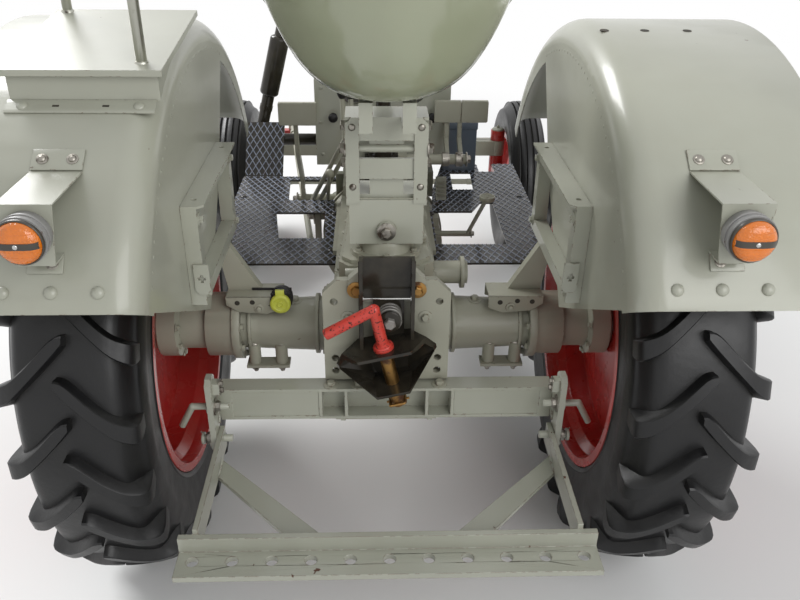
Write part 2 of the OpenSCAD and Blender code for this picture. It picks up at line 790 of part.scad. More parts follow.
// Sprung frame between the pedestal and the pan: cheeks, cross panels, cross shafts and two bent feet.
// Columns of the panels: half width, distance in from the rear, low, high
panels = [[62, 0, 1149, 1195], [62, 2, 1062, 1109], [78, 0, 964, 1013], [38, 14, 1119, 1149], [38, 14, 1013, 1062]];
frame_high = 1201;

module seat_frame() {
    back = pedestal_y - 60;
    front = pedestal_y + 50;
    color(paint) {
        both() {
            plate_x([[back, 1000], [front, 1040], [front, frame_high - 30], [front - 24, frame_high],
                [back + 16, frame_high], [back, frame_high - 16]], frame_half - 8, frame_half);
            plate_y([[60, 1006], [frame_half, 1006], [frame_half, frame_high - 16], [frame_half - 14, frame_high],
                [60, frame_high]], back - 4, back + 3);
            plate_x([[back, seat_foot_z], [back + 8, seat_foot_z], [back + 8, 1006], [back, 1006]], 70, 84);
            plate_y([[30, frame_high - 6], [58, frame_high - 6], [58, seat_z - seat_gap], [30, seat_z - seat_gap]],
                seat_y - 44, seat_y - 38);
            block([30, seat_y - 44, seat_z - 6], [58, seat_y + 44, seat_z - seat_gap]);
            block([30, seat_y - 44, frame_high - 6], [58, back + 10, frame_high]);
        }
        block([-frame_half, back, frame_high - 7], [frame_half, front - 24, frame_high]);
        for (p = panels)
            block([-p[0], back + p[1], p[2]], [p[0], back + p[1] + 7, p[3]]);
        plate_y([[-84, seat_foot_z], [84, seat_foot_z], [78, 966], [-78, 966]], back, back + 8);
        block([-84, back, seat_foot_z], [84, front, seat_foot_z + 10]);
        block([-frame_half + 4, back + 14, 1012], [frame_half - 4, front - 10, 1022]);
        bar_x(-frame_half - 10, frame_half + 10, back + 12, 1129, 8);
        for (z = [1117, 1030])
            bar_x(-frame_half - 8, frame_half + 8, front - 20, z + 40, 9);
        bar_y(back - 12, back + 4, 0, 940, 22);
        bar_y(back - 20, back - 12, 0, 940, 9);
    }
}

/* Fenders */

// Angles of the shell's ends above the horizontal, behind and in front
fender_back = 32;
fender_front = 28;

// Cross-section of a fender's shell: rounded inner edge and a flange along the wall, as [radius, distance]
module fender_section() {
    r = fender_r;
    e = fender_edge_r;
    w = fender_out - fender_in;
    flange = 30;
    intersection() {
        difference() {
            union() {
                translate([r - e, e]) circle(r = e);
                translate([r - e - flange, e]) square([flange + e, w - e]);
                translate([r - e - flange, 0]) square([flange, w]);
            }
            translate([r - e, e]) circle(r = e - sheet);
            translate([r - e - flange - 1, e]) square([flange + 1 + e - sheet, w]);
            translate([r - e - flange - 1, sheet]) square([flange + 1, w]);
        }
        translate([r - e - flange, 0]) square([flange + e, w]);
    }
}

// Right fender: rolled shell and flat inner wall
module fender(side) {
    // Outline of the inner wall about the axle, [y, z]
    wall = [
        [-610, 385], [-262, 190], [-150, 130], [117, 384], [292, 650], [292, 900], [-900, 900], [-900, 385]
    ];
    color(paint) scale_x(side) {
        translate([fender_in, rear_y, rear_z]) rotate([0, 90, 0]) rotate([0, 0, 90 + fender_front])
            rotate_extrude(angle = 180 - fender_front - fender_back, $fn = 144) fender_section();
        translate([fender_in, rear_y, rear_z]) rotate([90, 0, 90])
            linear_extrude(height = sheet)
                intersection() {
                    circle(r = fender_r - fender_edge_r, $fn = 144);
                    polygon(wall);
                }
    }
}

// Channel frames on the inner walls of both fenders, with a drilled flange on top and a tab behind
module fender_frames() {
    bar = 34;
    wall = 5;
    color(paint) both()
        translate([0, rear_y, 0]) {
            difference() {
                block([frame_in, frame_back, frame_low], [frame_out, frame_front, frame_top]);
                block([frame_in - 1, frame_back + bar, frame_low + bar - 4],
                    [frame_out + 1, frame_front - bar, frame_top - bar]);
                block([frame_in + wall, frame_back + wall, frame_low + wall],
                    [frame_out + 1, frame_back + bar - wall, frame_top - wall]);
                block([frame_in + wall, frame_front - bar + wall, frame_low + wall],
                    [frame_out + 1, frame_front - wall, frame_top - wall]);
                block([frame_in + wall, frame_back + wall, frame_top - bar + wall],
                    [frame_out + 1, frame_front - wall, frame_top - wall]);
            }
            difference() {
                translate([0, 0, frame_top - 1]) linear_extrude(height = 5)
                    polygon([[frame_in - 14, frame_back + 12], [frame_in - 2, frame_back], [frame_out, frame_back],
                        [frame_out, frame_front], [frame_in - 14, frame_front]]);
                for (y = [frame_back + 40, frame_front - 40])
                    bar_z(frame_top - 2, frame_top + 5, frame_in + 12, y, 6);
            }
            difference() {
                plate_y([[frame_in - 12, 936], [frame_in + 20, 936], [frame_in + 20, 876], [frame_in + 12, 866],
                    [frame_in - 4, 866], [frame_in - 12, 876]], frame_back - 5, frame_back + 1);
                block([frame_in - 4, frame_back - 6, 900], [frame_in + 12, frame_back + 2, 906]);
                block([frame_in + 1, frame_back - 6, 894], [frame_in + 7, frame_back + 2, 912]);
            }
        }
}

/* Passenger box, rail and rear lamps */

box_out = fender_in - 2 + box_w;
box_low = 1345;
box_high = 1392;

module passenger_box() {
    y0 = rear_y - box_l;
    color(paint) {
        difference() {
            plate_x([[y0, 1240], [rear_y - 20, 1240], [rear_y - 20, box_high - 12], [y0, box_low - 12]],
                -box_out, -fender_in + 2);
            bar_x(-box_out - 1, -fender_in + 3, rear_y, rear_z, fender_r + seat_gap, $fn = 288);
        }
        plate_x([[y0 - 15, box_low - 12], [rear_y - 5, box_high - 12], [rear_y - 5, box_high], [y0 - 15, box_low]],
            -box_out - 12, -fender_in + 14);
    }
}

rail_r = 10;
rail_top = 1650;

module grab_rail() {
    a = [-450, rear_y - 320, box_low];
    b = [-675, rear_y - 320, rail_top];
    color(steel) difference() {
        bent_rod([
            [a.x, a.y, box_low - 10], [a.x, a.y, rail_top], [b.x, a.y, rail_top],
            [b.x, rear_y - 22, rail_top], [b.x, rear_y - 22, box_high - 20]
        ], rail_r);
        plate_x([
            [rear_y - box_l - 15, box_low + seat_gap], [rear_y - 5, box_high + seat_gap],
            [rear_y - 5, box_low - 60], [rear_y - box_l - 15, box_low - 60]
        ], -box_out - 12, -fender_in + 14);
    }
}

tail_x = 578;
tail_y = -640;
tail_z = 1152;
tail_r = 38;
tail_top = 1200;

// Bent-up sheet bracket of each tail lamp, tapered downwards, with a gusset outside
module lamp_brackets() {
    back = tail_y + 8;
    color(paint) both() difference() {
        translate([tail_x, rear_y, 0]) {
            block([-45, back, tail_top - 3], [45, -440, tail_top]);
            plate_y([[-45, tail_top - 1], [45, tail_top - 1], [30, tail_z - 60], [-30, tail_z - 60]], back, back + 3);
            plate_x([[back, tail_top], [-500, tail_top], [-500, tail_top - 20], [back, tail_z - 20]], 42, 45);
            block([-30, back, tail_z - 60], [30, -560, tail_z - 57]);
        }
        bar_x(tail_x - 60, tail_x + 60, rear_y, rear_z, fender_r + seat_gap, $fn = 288);
    }
}

// Round lamp bodies with a bead at the rim
module lamp_bodies() {
    color("#77786f") both() {
        bar_y(rear_y + tail_y - 30, rear_y + tail_y + 7.7, tail_x, tail_z, tail_r);
        bar_y(rear_y + tail_y - 26, rear_y + tail_y - 20, tail_x, tail_z, tail_r + 2.5);
        bar_y(rear_y + tail_y - 12, rear_y + tail_y - 6, tail_x, tail_z, tail_r + 2);
    }
}

module lamp_lenses() {
    color("#e07a1f") both()
        bar_y(rear_y + tail_y - 48, rear_y + tail_y - 30.3, tail_x, tail_z, tail_r - 6, tail_r - 2);
}

/* Platform, pedals and levers */

// Footplate with its outline and cut-outs given as [x, y] points about the rear axle
module deck(outline, cuts) {
    translate([0, rear_y, deck_z - deck_t]) linear_extrude(height = deck_t) difference() {
        polygon(outline);
        for (c = cuts)
            polygon(c);
    }
}

// Left footplate: two openings for levers, and a toe board that rises in front
module footplate_left() {
    color("#1c1d1f") {
        deck(
            [[-deck_in, deck_back], [-deck_out, deck_back], [-deck_out, 790], [-154, 790], [-154, 755],
                [-312, 755], [-302, 574], [-154, 574], [-154, 486], [-deck_in, 480]],
            [[[-170, 281], [-304, 281], [-330, 470], [-180, 470]]]
        );
        translate([0, rear_y, 0])
            plate_x([[790, deck_z - deck_t], [790, deck_z], [946, 868], [950, 862]], -deck_out + 4, -342);
    }
}

// Right footplate: openings beside the gearbox and under the brake pedals
module footplate_right() {
    color("#1c1d1f")
        deck(
            [[deck_in, deck_back], [deck_out, deck_back], [deck_out, 920], [400, 920], [400, 840], [344, 840],
                [344, 915], [216, 915], [166, 660], [154, 486], [deck_in, 480]],
            [[[deck_in + 20, 237], [353, 237], [353, 552], [314, 552], [279, 478], [deck_in + 20, 478]],
                [[236, 667], [304, 667], [311, 830], [240, 830]]]
        );
}

module battery_box() {
    color("#5d6a78") block([216, rear_y + 850, deck_z + seat_gap], [330, rear_y + 1020, deck_z + 170]);
}

// Clutch pedal, two brake pedals on their cross shaft, throttle pad and heel pedal
module pedals() {
    color(steel) {
        translate([0, rear_y, 0]) {
            block([-308, 500, 990], [-197, 512, 1056]);
            for (z = [1000 : 13 : 1040])
                block([-302, 497, z], [-203, 501, z + 6]);
            plate_x([[508, 1040], [516, 1040], [560, 900], [674, 770], [674, 690], [646, 690], [646, 758], [532, 890]],
                -268, -256);
            bar_x(-282, -engine_half, 660, 690, 18);
            for (x = [153, 233]) {
                block([x, 500, 1000], [x + 78, 512, 1063]);
                for (z = [1008 : 13 : 1050])
                    block([x + 6, 497, z], [x + 72, 501, z + 6]);
                plate_x([[508, 1040], [516, 1040], [522, 940], [446, 900], [424, 900], [424, 912], [504, 952]],
                    x / 2 + 108, x / 2 + 120);
            }
            bar_x(70, 246, 432, 908, 15);
            block([44, 414, bell_top], [70, 450, 926]);
            bar_x(case_half, 274, heel_y, heel_z, 9);
            rod([262, heel_y, heel_z], [296, 300, 837], 6);
            bar_z(831, 844, 296, 300, 22);
            plate_x([[570, deck_z], [584, deck_z], [612, 782], [606, 790], [598, 788]], 172, 206);
            for (z = [736 : 12 : 772])
                block([176, 562 + (z - deck_z) / 2, z], [202, 584 + (z - deck_z) / 2, z + 5]);
        }
    }
}

heel_y = 430;
heel_z = 668;

module levers() {
    color(steel) {
        translate([0, rear_y, 0]) {
            for (x = [0, 24])
                bent_rod([[x - 238, 614, 690], [x - 111, 410, 976], [x - 116, 402, 1100]], 7);
            bar_x(-252, -engine_half, 614, 690, 12);
            rod([-180, 614, 694], [-162, 470, 850], 6);
            translate([-162, 470, 850]) sphere(r = 14, $fn = 32);
        }
    }
}

/* Hitch */

plate_y0 = case_back - 12 - plate_t;
plate_low = 575;
ear_t = 8;
plate_hole_x = 122;
plate_hole_r = 9;
plate_hole_z = [plate_low + 26, plate_low + 62, plate_low + 216];

// Hitch plate with cut corners, an eared pad for the hitch channel and stand-off bushes
module hitch_plate() {
    y0 = plate_y0;
    c = 34;
    h = plate_w / 2;
    z1 = plate_low + plate_h;
    color(paint) {
        difference() {
            union() {
                plate_y([[-h, plate_low], [h, plate_low], [h, z1 - c], [h - c, z1], [-h + c, z1], [-h, z1 - c]],
                    y0, y0 + plate_t);
                plate_y([[-64, z1 - 52], [64, z1 - 52], [88, z1 - 30], [88, z1 + 4], [66, z1 + 24], [-66, z1 + 24],
                    [-88, z1 + 4], [-88, z1 - 30]], y0 - ear_t, y0 + plate_t);
            }
            for (x = [-plate_hole_x, plate_hole_x]) for (z = plate_hole_z)
                bar_y(y0 - 1, y0 + plate_t + 1, x, z, plate_hole_r);
        }
        for (x = [-90, 90]) for (z = [plate_low + 60, 750])
            bar_y(y0 + plate_t, case_back, x, z, 16);
    }
}

beam_back = -254;
beam_h = 88;
beam_low = 482;
beam_half = 402;
beam_d = 48;

// Bays between the ribs of the cross beam, as [from, to]
bays = [[-156, -102], [-94, 94], [102, 156]];

// Channel beam below the hitch plate, open behind between its ribs, with closed ends
module cross_beam() {
    y0 = rear_y + beam_back;
    wall = 8;
    color(paint) {
        difference() {
            block([-beam_half, y0, beam_low], [beam_half, y0 + beam_d, beam_low + beam_h]);
            for (x = bays)
                block([x[0], y0 - 1, beam_low + wall], [x[1], y0 + beam_d - wall, beam_low + beam_h - wall]);
            both() block([164, y0 - 1, beam_low + wall], [beam_half - 30, y0 + 3, beam_low + beam_h - wall]);
        }
        block([-60, y0 + beam_d, beam_low], [60, case_back, beam_low + beam_h]);
        both() block([100, y0 + 4, beam_low - 10], [112, y0 + beam_d, beam_low + 1]);
    }
}

hanger_x = 410;

// Hangers at the beam's ends: cheek with a rounded head, gusset, pivot pin and bent locking pin
module beam_hangers() {
    color(paint) both() {
        plate_x([[rear_y - 322, 446], [rear_y - 274, 446], [rear_y - 274, 628], [rear_y - 286, 640],
            [rear_y - 310, 640], [rear_y - 322, 628]], hanger_x - 7, hanger_x + 7);
        block([beam_half, rear_y - 280, beam_low + 10], [hanger_x + 7, rear_y - 214, beam_low + beam_h - 10]);
        block([hanger_x - 24, rear_y - 310, 596], [hanger_x - 6, rear_y - 286, 626]);
        bar_x(hanger_x - 40, hanger_x + 34, rear_y - 298, 462, 9);
        bar_x(hanger_x + 26, hanger_x + 32, rear_y - 298, 462, 15);
        bent_rod([[hanger_x - 40, rear_y - 298, 556], [hanger_x + 46, rear_y - 298, 556],
            [hanger_x + 76, rear_y - 298, 500]], 8);
    }
}

module drawbar_frame() {
    y0 = rear_y - rear_reach;
    y1 = y0 + drawbar_w;
    z0 = drawbar_z;
    h = drawbar_l / 2;
    color(paint) {
        difference() {
            union() {
                block([-h, y0, z0], [h, y1, z0 + drawbar_t]);
                block([-h, y1 - drawbar_t, z0], [h, y1, z0 + 50]);
            }
            for (i = [0 : hole_count - 1])
                bar_z(z0 - 1, z0 + drawbar_t + 1, (i - (hole_count - 1) / 2) * hole_pitch, y0 + drawbar_w / 2, hole_r);
        }
        both() {
            difference() {
                block([hanger_x - 19.3, y1, z0 + 4], [hanger_x - 7 - seat_gap, rear_y - 276, z0 + 62]);
                bar_x(hanger_x - 40, hanger_x, rear_y - 298, 462, 9 + run_gap);
            }
            translate([0, 0, z0]) linear_extrude(height = 10)
                polygon([[hanger_x - 19.3, rear_y - 340], [hanger_x - 19.3, rear_y - 400], [190, y1], [110, y1]]);
        }
    }
}

// Jaw: place of its axis, roll, top and floor about that axis, and the pin's distance behind the plate
jaw_z = 672;
jaw_roll = -13;
jaw_top = 34;
jaw_low = -66;
pin_y = -65;
channel_d = 45;
channel_top = 911;

// Its child turned about the jaw's lengthwise axis on the hitch plate
module rolled() {
    translate([0, plate_y0, jaw_z]) rotate([0, jaw_roll, 0]) children();
}

// Slab of a symmetrical plan, given as its right half, from z0 to z1
module slab(half, z0, z1) {
    n = len(half);
    translate([0, 0, z0]) linear_extrude(height = z1 - z0)
        polygon(concat(half, [for (i = [n - 1 : -1 : 0]) [-half[i].x, half[i].y]]));
}

// Tow hitch: upright channel on the eared pad, coil spring, and a flared jaw that is rolled on its shank
module tow_hitch() {
    back = plate_y0 - ear_t;
    color("#1a1a1a") {
        difference() {
            union() {
                rolled() hull() {
                    slab([[62, 0], [100, -52], [62, -102]], jaw_top - 4, jaw_top);
                    slab([[62, 0], [118, -50], [112, -62], [64, -102]], 0, 10);
                    slab([[44, 0], [56, -40], [38, -118]], jaw_low, jaw_low + 4);
                }
                both() plate_x([[back, 684], [back - channel_d, 684], [back - channel_d, channel_top - 22],
                    [back - channel_d + 18, channel_top], [back, channel_top]], 54, 62);
                block([-62, back - 8, 806], [62, back, channel_top]);
                block([-32, back - 4, 684], [40, plate_y0, 700]);
                block([-32, back - 6, 684], [40, back, 810]);
            }
            rolled() hull() {
                slab([[50, -14], [94, -54], [94, -130]], jaw_top - 9, jaw_top - 7);
                slab([[54, -14], [111, -52], [111, -130]], -2, 8);
                slab([[38, -14], [49, -42], [34, -130]], jaw_low + 6, jaw_low + 8);
            }
            rolled() bar_z(jaw_low - 10, jaw_top + 10, 0, pin_y, pin_r + run_gap);
        }
        translate([6, back - 2, 768]) rotate([90, 0, 0]) rotate_extrude($fn = 40)
            polygon([[0, 0], [25, 0], for (i = [0 : 4]) each [[25, 9 * i + 5], [20, 9 * i + 7], [25, 9 * i + 9]],
                [12, 47], [12, 52], [0, 52]]);
    }
}

// Hitch pin through the jaw, with a collar and a cranked handle
module hitch_pin() {
    foot = [-8, plate_y0 + pin_y, jaw_z + jaw_top + 2];
    bend = foot + [-22, -24, 112];
    grip = foot + [-128, -34, 56];
    color("#8c2a22") rolled() {
        bar_z(jaw_low - 22, jaw_top, 0, pin_y, pin_r);
        bar_z(jaw_top, jaw_top + 7, 0, pin_y, 24);
    }
    color("#a5231c") bent_rod([foot, bend, grip], 13);
}

// Trailer socket with its cap, on a strap that stands on the trumpet
module trailer_socket() {
    color(dark) {
        bar_y(rear_y - 66, rear_y - 23.3, -264, 704, 27);
        block([-340, rear_y - 23.3, 690], [-240, rear_y - 20.3, 722]);
    }
    color("#9fae2c") bar_y(rear_y - 76, rear_y - 66, -264, 704, 25);
}

// Exhaust: out of the engine's left side, then up and inwards beside the bonnet
module exhaust() {
    color("#151515") translate([0, rear_y + 1010, 0])
        bent_rod([[-engine_half - seat_gap, 0, 785], [-444, 0, 785], [-300, 0, 1320]], 21);
}

/* Placing */

gearbox();
axle_trumpets();
engine_block();
front_bracket();
front_axle();
cowl();
steering_column();
grille();
headlamps();
headlamp_lenses();
seat_pan();
seat_frame();
fender(-1);  // fender_left
fender(1);  // fender_right
fender_frames();
passenger_box();
grab_rail();
lamp_brackets();
lamp_bodies();
lamp_lenses();
footplate_left();
footplate_right();
battery_box();
pedals();
levers();
hitch_plate();
cross_beam();
beam_hangers();
drawbar_frame();
tow_hitch();
hitch_pin();
trailer_socket();
exhaust();
rear_tyre(-1);  // rear_tyre_left
rear_rim(-1);  // rear_rim_left
rear_tyre(1);  // rear_tyre_right
rear_rim(1);  // rear_rim_right
front_tyre(-1);  // front_tyre_left
front_rim(-1);  // front_rim_left
front_tyre(1);  // front_tyre_right
front_rim(1);  // front_rim_right
knuckle(-1);  // knuckle_left
knuckle(1);  // knuckle_right
tie_rod();
drag_link();
drop_arm();
steering_wheel();
bonnet();
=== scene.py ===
"""Vintage tractor with an open platform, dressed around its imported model.

Units are metres. +Z is up, +Y is forward and +X is to the tractor's right.
"""

import json
import logging
from dataclasses import dataclass, field
from enum import Enum
from functools import cache
from math import acos, asin, copysign, cos, hypot, pi, radians, sin, sqrt, tan, tau
from typing import Iterable, Sequence

import bmesh
import bpy
from mathutils import Matrix, Vector

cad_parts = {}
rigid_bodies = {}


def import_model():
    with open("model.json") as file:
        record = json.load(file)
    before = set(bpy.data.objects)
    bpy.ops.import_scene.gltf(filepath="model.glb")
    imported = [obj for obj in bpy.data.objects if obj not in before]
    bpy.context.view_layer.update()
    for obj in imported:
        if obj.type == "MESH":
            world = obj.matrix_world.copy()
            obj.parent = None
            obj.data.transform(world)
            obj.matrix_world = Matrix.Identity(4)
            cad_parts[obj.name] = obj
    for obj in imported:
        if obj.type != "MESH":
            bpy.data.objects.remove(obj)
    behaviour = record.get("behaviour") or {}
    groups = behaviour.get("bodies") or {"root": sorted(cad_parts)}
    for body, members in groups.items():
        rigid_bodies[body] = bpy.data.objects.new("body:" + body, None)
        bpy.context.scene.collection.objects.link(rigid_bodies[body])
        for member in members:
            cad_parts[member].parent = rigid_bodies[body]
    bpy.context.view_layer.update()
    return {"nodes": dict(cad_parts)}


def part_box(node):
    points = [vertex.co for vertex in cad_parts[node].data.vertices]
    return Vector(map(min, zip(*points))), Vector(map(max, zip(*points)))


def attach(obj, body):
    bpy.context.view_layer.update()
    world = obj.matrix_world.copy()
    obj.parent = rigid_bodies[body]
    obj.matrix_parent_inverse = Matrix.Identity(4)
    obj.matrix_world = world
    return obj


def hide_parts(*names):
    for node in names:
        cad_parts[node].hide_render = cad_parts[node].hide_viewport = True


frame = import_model()

LOG = logging.getLogger("tractor")
Colour = tuple[float, float, float]
Point = Sequence[float]


class Body(Enum):
    """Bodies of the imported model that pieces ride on."""

    CHASSIS = "chassis"
    REAR_LEFT = "rear_wheel_left"
    REAR_RIGHT = "rear_wheel_right"
    FRONT_LEFT = "front_wheel_left"
    FRONT_RIGHT = "front_wheel_right"
    KNUCKLE_LEFT = "knuckle_left"
    KNUCKLE_RIGHT = "knuckle_right"
    TIE_ROD = "tie_rod"
    DRAG_LINK = "drag_link"
    DROP_ARM = "drop_arm"
    STEERING_WHEEL = "steering_wheel"
    BONNET = "bonnet"


class Side(Enum):
    """Side of the tractor, seen by the driver."""

    LEFT = -1
    RIGHT = 1

    @property
    def label(self) -> str:
        """Name of the side, as the model's nodes have it."""
        return self.name.lower()


def middle(node: str, axis: int) -> float:
    """Middle of a node's box along an axis."""
    low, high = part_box(node)
    return (low[axis] + high[axis]) / 2


UP, DOWN, BACK, AHEAD = (0, 0, 1), (0, 0, -1), (0, -1, 0), (0, 1, 0)
AXLE_Y = middle("rear_rim_right", 1)
AXLE_Z = middle("rear_rim_right", 2)
FRONT_Y = middle("front_rim_right", 1)
FRONT_Z = middle("front_rim_right", 2)


def rear(x: float, y: float, z: float) -> Vector:
    """Point given with its distance forward of the rear axle."""
    return Vector((x, AXLE_Y + y, z))


def corners(a: Vector, b: Vector) -> tuple[Vector, Vector]:
    """Lowest and highest corner of the box between two points."""
    return Vector(map(min, a, b)), Vector(map(max, a, b))


def circle(radius: float, count: int, start: float = 0.0) -> list[tuple[float, float]]:
    """Points spaced evenly round a circle.

    Args:
        radius: Radius of the circle.
        count: Number of points.
        start: Place of the first point, in steps.

    Returns:
        Both coordinates of each point.
    """
    turns = (tau * (k + start) / count for k in range(count))
    return [(radius * cos(a), radius * sin(a)) for a in turns]


def curve(rows: Sequence[tuple[float, ...]], spans: int) -> list[tuple[float, ...]]:
    """Smooth curve through the rows of a table.

    Args:
        rows: Values at each knot.
        spans: Steps between two knots.

    Returns:
        The knots and the steps between them.
    """
    made = []
    last = len(rows) - 1
    for i in range(last):
        a, b, c, d = rows[max(i - 1, 0)], rows[i], rows[i + 1], rows[min(i + 2, last)]
        for k in range(spans):
            t = k / spans
            made.append(tuple(
                q + 0.5 * t * (r - p + t * (2 * p - 5 * q + 4 * r - s + t * (3 * (q - r) + s - p)))
                for p, q, r, s in zip(a, b, c, d)
            ))
    made.append(tuple(rows[last]))
    return made


def srgb(red: int, green: int, blue: int) -> Colour:
    """Linear colour of an 8-bit screen colour.

    Args:
        red: Red from 0 to 255.
        green: Green from 0 to 255.
        blue: Blue from 0 to 255.

    Returns:
        The linear red, green and blue.
    """
    return tuple(
        c / 12.92 if c <= 0.04045 else ((c + 0.055) / 1.055) ** 2.4
        for c in (red / 255, green / 255, blue / 255)
    )


# Material graphs


class Graph:
    """Node graph of one material, with short calls for the nodes that the finishes share."""

    def __init__(self, name: str) -> None:
        """Start an empty material.

        Args:
            name: Name of the material.
        """
        self.material = bpy.data.materials.new(name)
        self.material.use_nodes = True
        self.tree = self.material.node_tree
        self.shader = self.tree.nodes["Principled BSDF"]

    def node(self, kind: str, **sockets: object) -> bpy.types.Node:
        """Add a node.

        Args:
            kind: Type of the node, without its ShaderNode prefix.
            **sockets: Values or output sockets by input name, with _ for a space.

        Returns:
            The new node.
        """
        made = self.tree.nodes.new("ShaderNode" + kind)
        for name, value in sockets.items():
            self.feed(made.inputs[name.replace("_", " ")], value)
        return made

    def feed(self, socket: bpy.types.NodeSocket, value: object) -> None:
        """Link an output to a socket, or set the socket's value.

        Args:
            socket: Input to fill.
            value: Output, colour, vector or number.
        """
        if isinstance(value, bpy.types.NodeSocket):
            self.tree.links.new(value, socket)
        elif isinstance(value, tuple) and len(value) == 3 and socket.type == "RGBA":
            socket.default_value = (*value, 1.0)
        else:
            socket.default_value = value

    def place(self, scale: float = 1.0, stretch: Point = (1, 1, 1)) -> bpy.types.NodeSocket:
        """Position on the object, in metres times a scale."""
        where = self.node("TexCoord").outputs["Object"]
        size = tuple(scale * s for s in stretch)
        return self.node("Mapping", Vector=where, Scale=size).outputs["Vector"]

    def noise(self, scale: float, detail: float = 3.0, stretch: Point = (1, 1, 1)) -> bpy.types.NodeSocket:
        """Noise from 0 to 1.

        Args:
            scale: Waves in a metre.
            detail: Octaves of finer noise.
            stretch: Scale along each axis.

        Returns:
            The noise's value.
        """
        return self.node(
            "TexNoise", Vector=self.place(1.0, stretch), Scale=scale, Detail=detail
        ).outputs["Fac"]

    def math(self, operation: str, a: object, b: object = 0.0) -> bpy.types.NodeSocket:
        """Result of a sum on two values.

        Args:
            operation: Name of the sum.
            a: First number or output.
            b: Second number or output.

        Returns:
            Output of the node.
        """
        made = self.tree.nodes.new("ShaderNodeMath")
        made.operation = operation
        self.feed(made.inputs[0], a)
        self.feed(made.inputs[1], b)
        return made.outputs[0]

    def ramp(self, value: bpy.types.NodeSocket, low: float, high: float) -> bpy.types.NodeSocket:
        """Value stretched so that low gives 0 and high gives 1, held there."""
        made = self.node("MapRange", Value=value, From_Min=low, From_Max=high)
        made.interpolation_type = "SMOOTHSTEP"
        return made.outputs["Result"]

    def mix(self, share: object, a: object, b: object) -> bpy.types.NodeSocket:
        """Colour between a and b.

        Args:
            share: Share of b, from 0 to 1.
            a: First colour or output.
            b: Second colour or output.

        Returns:
            Output of the node.
        """
        made = self.tree.nodes.new("ShaderNodeMix")
        made.data_type = "RGBA"
        self.feed(made.inputs[0], share)
        self.feed(made.inputs[6], a)
        self.feed(made.inputs[7], b)
        return made.outputs[2]

    def between(self, share: object, a: float, b: float) -> bpy.types.NodeSocket:
        """Value between a and b."""
        made = self.node("MapRange", Value=share, To_Min=a, To_Max=b)
        return made.outputs["Result"]

    def edges(self, radius: float) -> bpy.types.NodeSocket:
        """Mask that is 1 on edges and corners sharper than the radius.

        Args:
            radius: Radius in metres.

        Returns:
            Output from 0 to 1.
        """
        soft = self.node("Bevel", Radius=radius).outputs["Normal"]
        hard = self.node("NewGeometry").outputs["Normal"]
        made = self.tree.nodes.new("ShaderNodeVectorMath")
        made.operation = "DOT_PRODUCT"
        self.feed(made.inputs[0], soft)
        self.feed(made.inputs[1], hard)
        return self.ramp(made.outputs["Value"], 0.995, 0.9)

    def hollows(self, reach: float) -> bpy.types.NodeSocket:
        """Mask that is 1 in corners and gaps narrower than the reach."""
        made = self.node("AmbientOcclusion", Distance=reach)
        made.samples = 4
        return self.ramp(made.outputs["AO"], 0.75, 0.25)

    def bump(self, height: object, depth: float, normal: object = None) -> bpy.types.NodeSocket:
        """Normal of a rough surface of that depth in metres.

        Args:
            height: Height from 0 to 1.
            depth: Depth in metres.
            normal: Normal to start from.

        Returns:
            Output of the node.
        """
        made = self.node("Bump", Height=height, Distance=depth)
        if normal is not None:
            self.feed(made.inputs["Normal"], normal)
        return made.outputs["Normal"]

    def set(self, **sockets: object) -> None:
        """Set inputs of the surface shader, with _ for a space."""
        for name, value in sockets.items():
            self.feed(self.shader.inputs[name.replace("_", " ")], value)


@dataclass(frozen=True)
class Finish:
    """What a surface is made of."""

    name: str
    slot: str

    def dress(self, g: Graph) -> None:
        """Add the finish's nodes to its graph."""
        raise NotImplementedError


@dataclass(frozen=True)
class Enamel(Finish):
    """Brushed or sprayed paint with dust, chips and rust on its edges, and a grime tone in its hollows that
    is also painted shade on the pale paints.
    """

    colour: Colour
    under: Colour = srgb(96, 58, 36)
    roughness: float = 0.34
    coat: float = 0.35
    chips: float = 0.5
    # dust sets the strength of the grime tone in the hollows, which is also painted shade on the pale paints.
    dust: float = 0.35
    dust_colour: Colour = srgb(150, 140, 118)
    speckle: tuple[float, float] = (38.0, 0.76)
    mirror: float = 0.5

    def dress(self, g: Graph) -> None:
        """Add the finish's nodes to its graph.

        Args:
            g: Node graph of the finish.
        """
        shade = g.mix(g.ramp(g.noise(3.5, 4), 0.3, 0.7), self.colour, tuple(0.9 * c for c in self.colour))
        fade = g.mix(g.math("MULTIPLY", g.noise(22.0, 5), 0.18), shade, self.dust_colour)
        worn = g.math("MULTIPLY", g.edges(0.0025), g.ramp(
            g.noise(70.0, 6), 0.62 - 0.2 * self.chips, 0.68 - 0.2 * self.chips
        ))
        scale, level = self.speckle
        spots = g.ramp(g.noise(scale, 7), level - 0.05 * self.chips, level + 0.015 - 0.05 * self.chips)
        bare = g.math("MAXIMUM", worn, g.math("MULTIPLY", spots, min(1.0, self.chips * 1.6)))
        # Dark brown-grey tone laid into the hollows that an occlusion mask finds: grime, and on the pale
        # paints also painted shade in corners and gaps.
        hollow_mask = g.math("MULTIPLY", g.hollows(0.03), g.math("MULTIPLY", g.noise(30.0, 4), 1.5 * self.dust))
        grimed_and_shaded = g.mix(hollow_mask, fade, tuple(0.32 * c for c in self.dust_colour))
        rust = g.mix(g.noise(240.0, 4), self.under, tuple(0.35 * c for c in self.under))
        g.set(Base_Color=g.mix(bare, grimed_and_shaded, rust))
        gloss = g.between(g.noise(9.0, 5), self.roughness - 0.07, self.roughness + 0.1)
        g.set(Roughness=g.math("MAXIMUM", gloss, g.math("MULTIPLY", bare, 0.8)))
        g.set(Coat_Weight=self.coat, Coat_Roughness=0.12, IOR=1.5, Specular_IOR_Level=self.mirror)
        peel = g.bump(g.noise(420.0, 2), 0.00012)
        g.set(Normal=g.bump(g.math("SUBTRACT", 1.0, bare), 0.0004, peel))


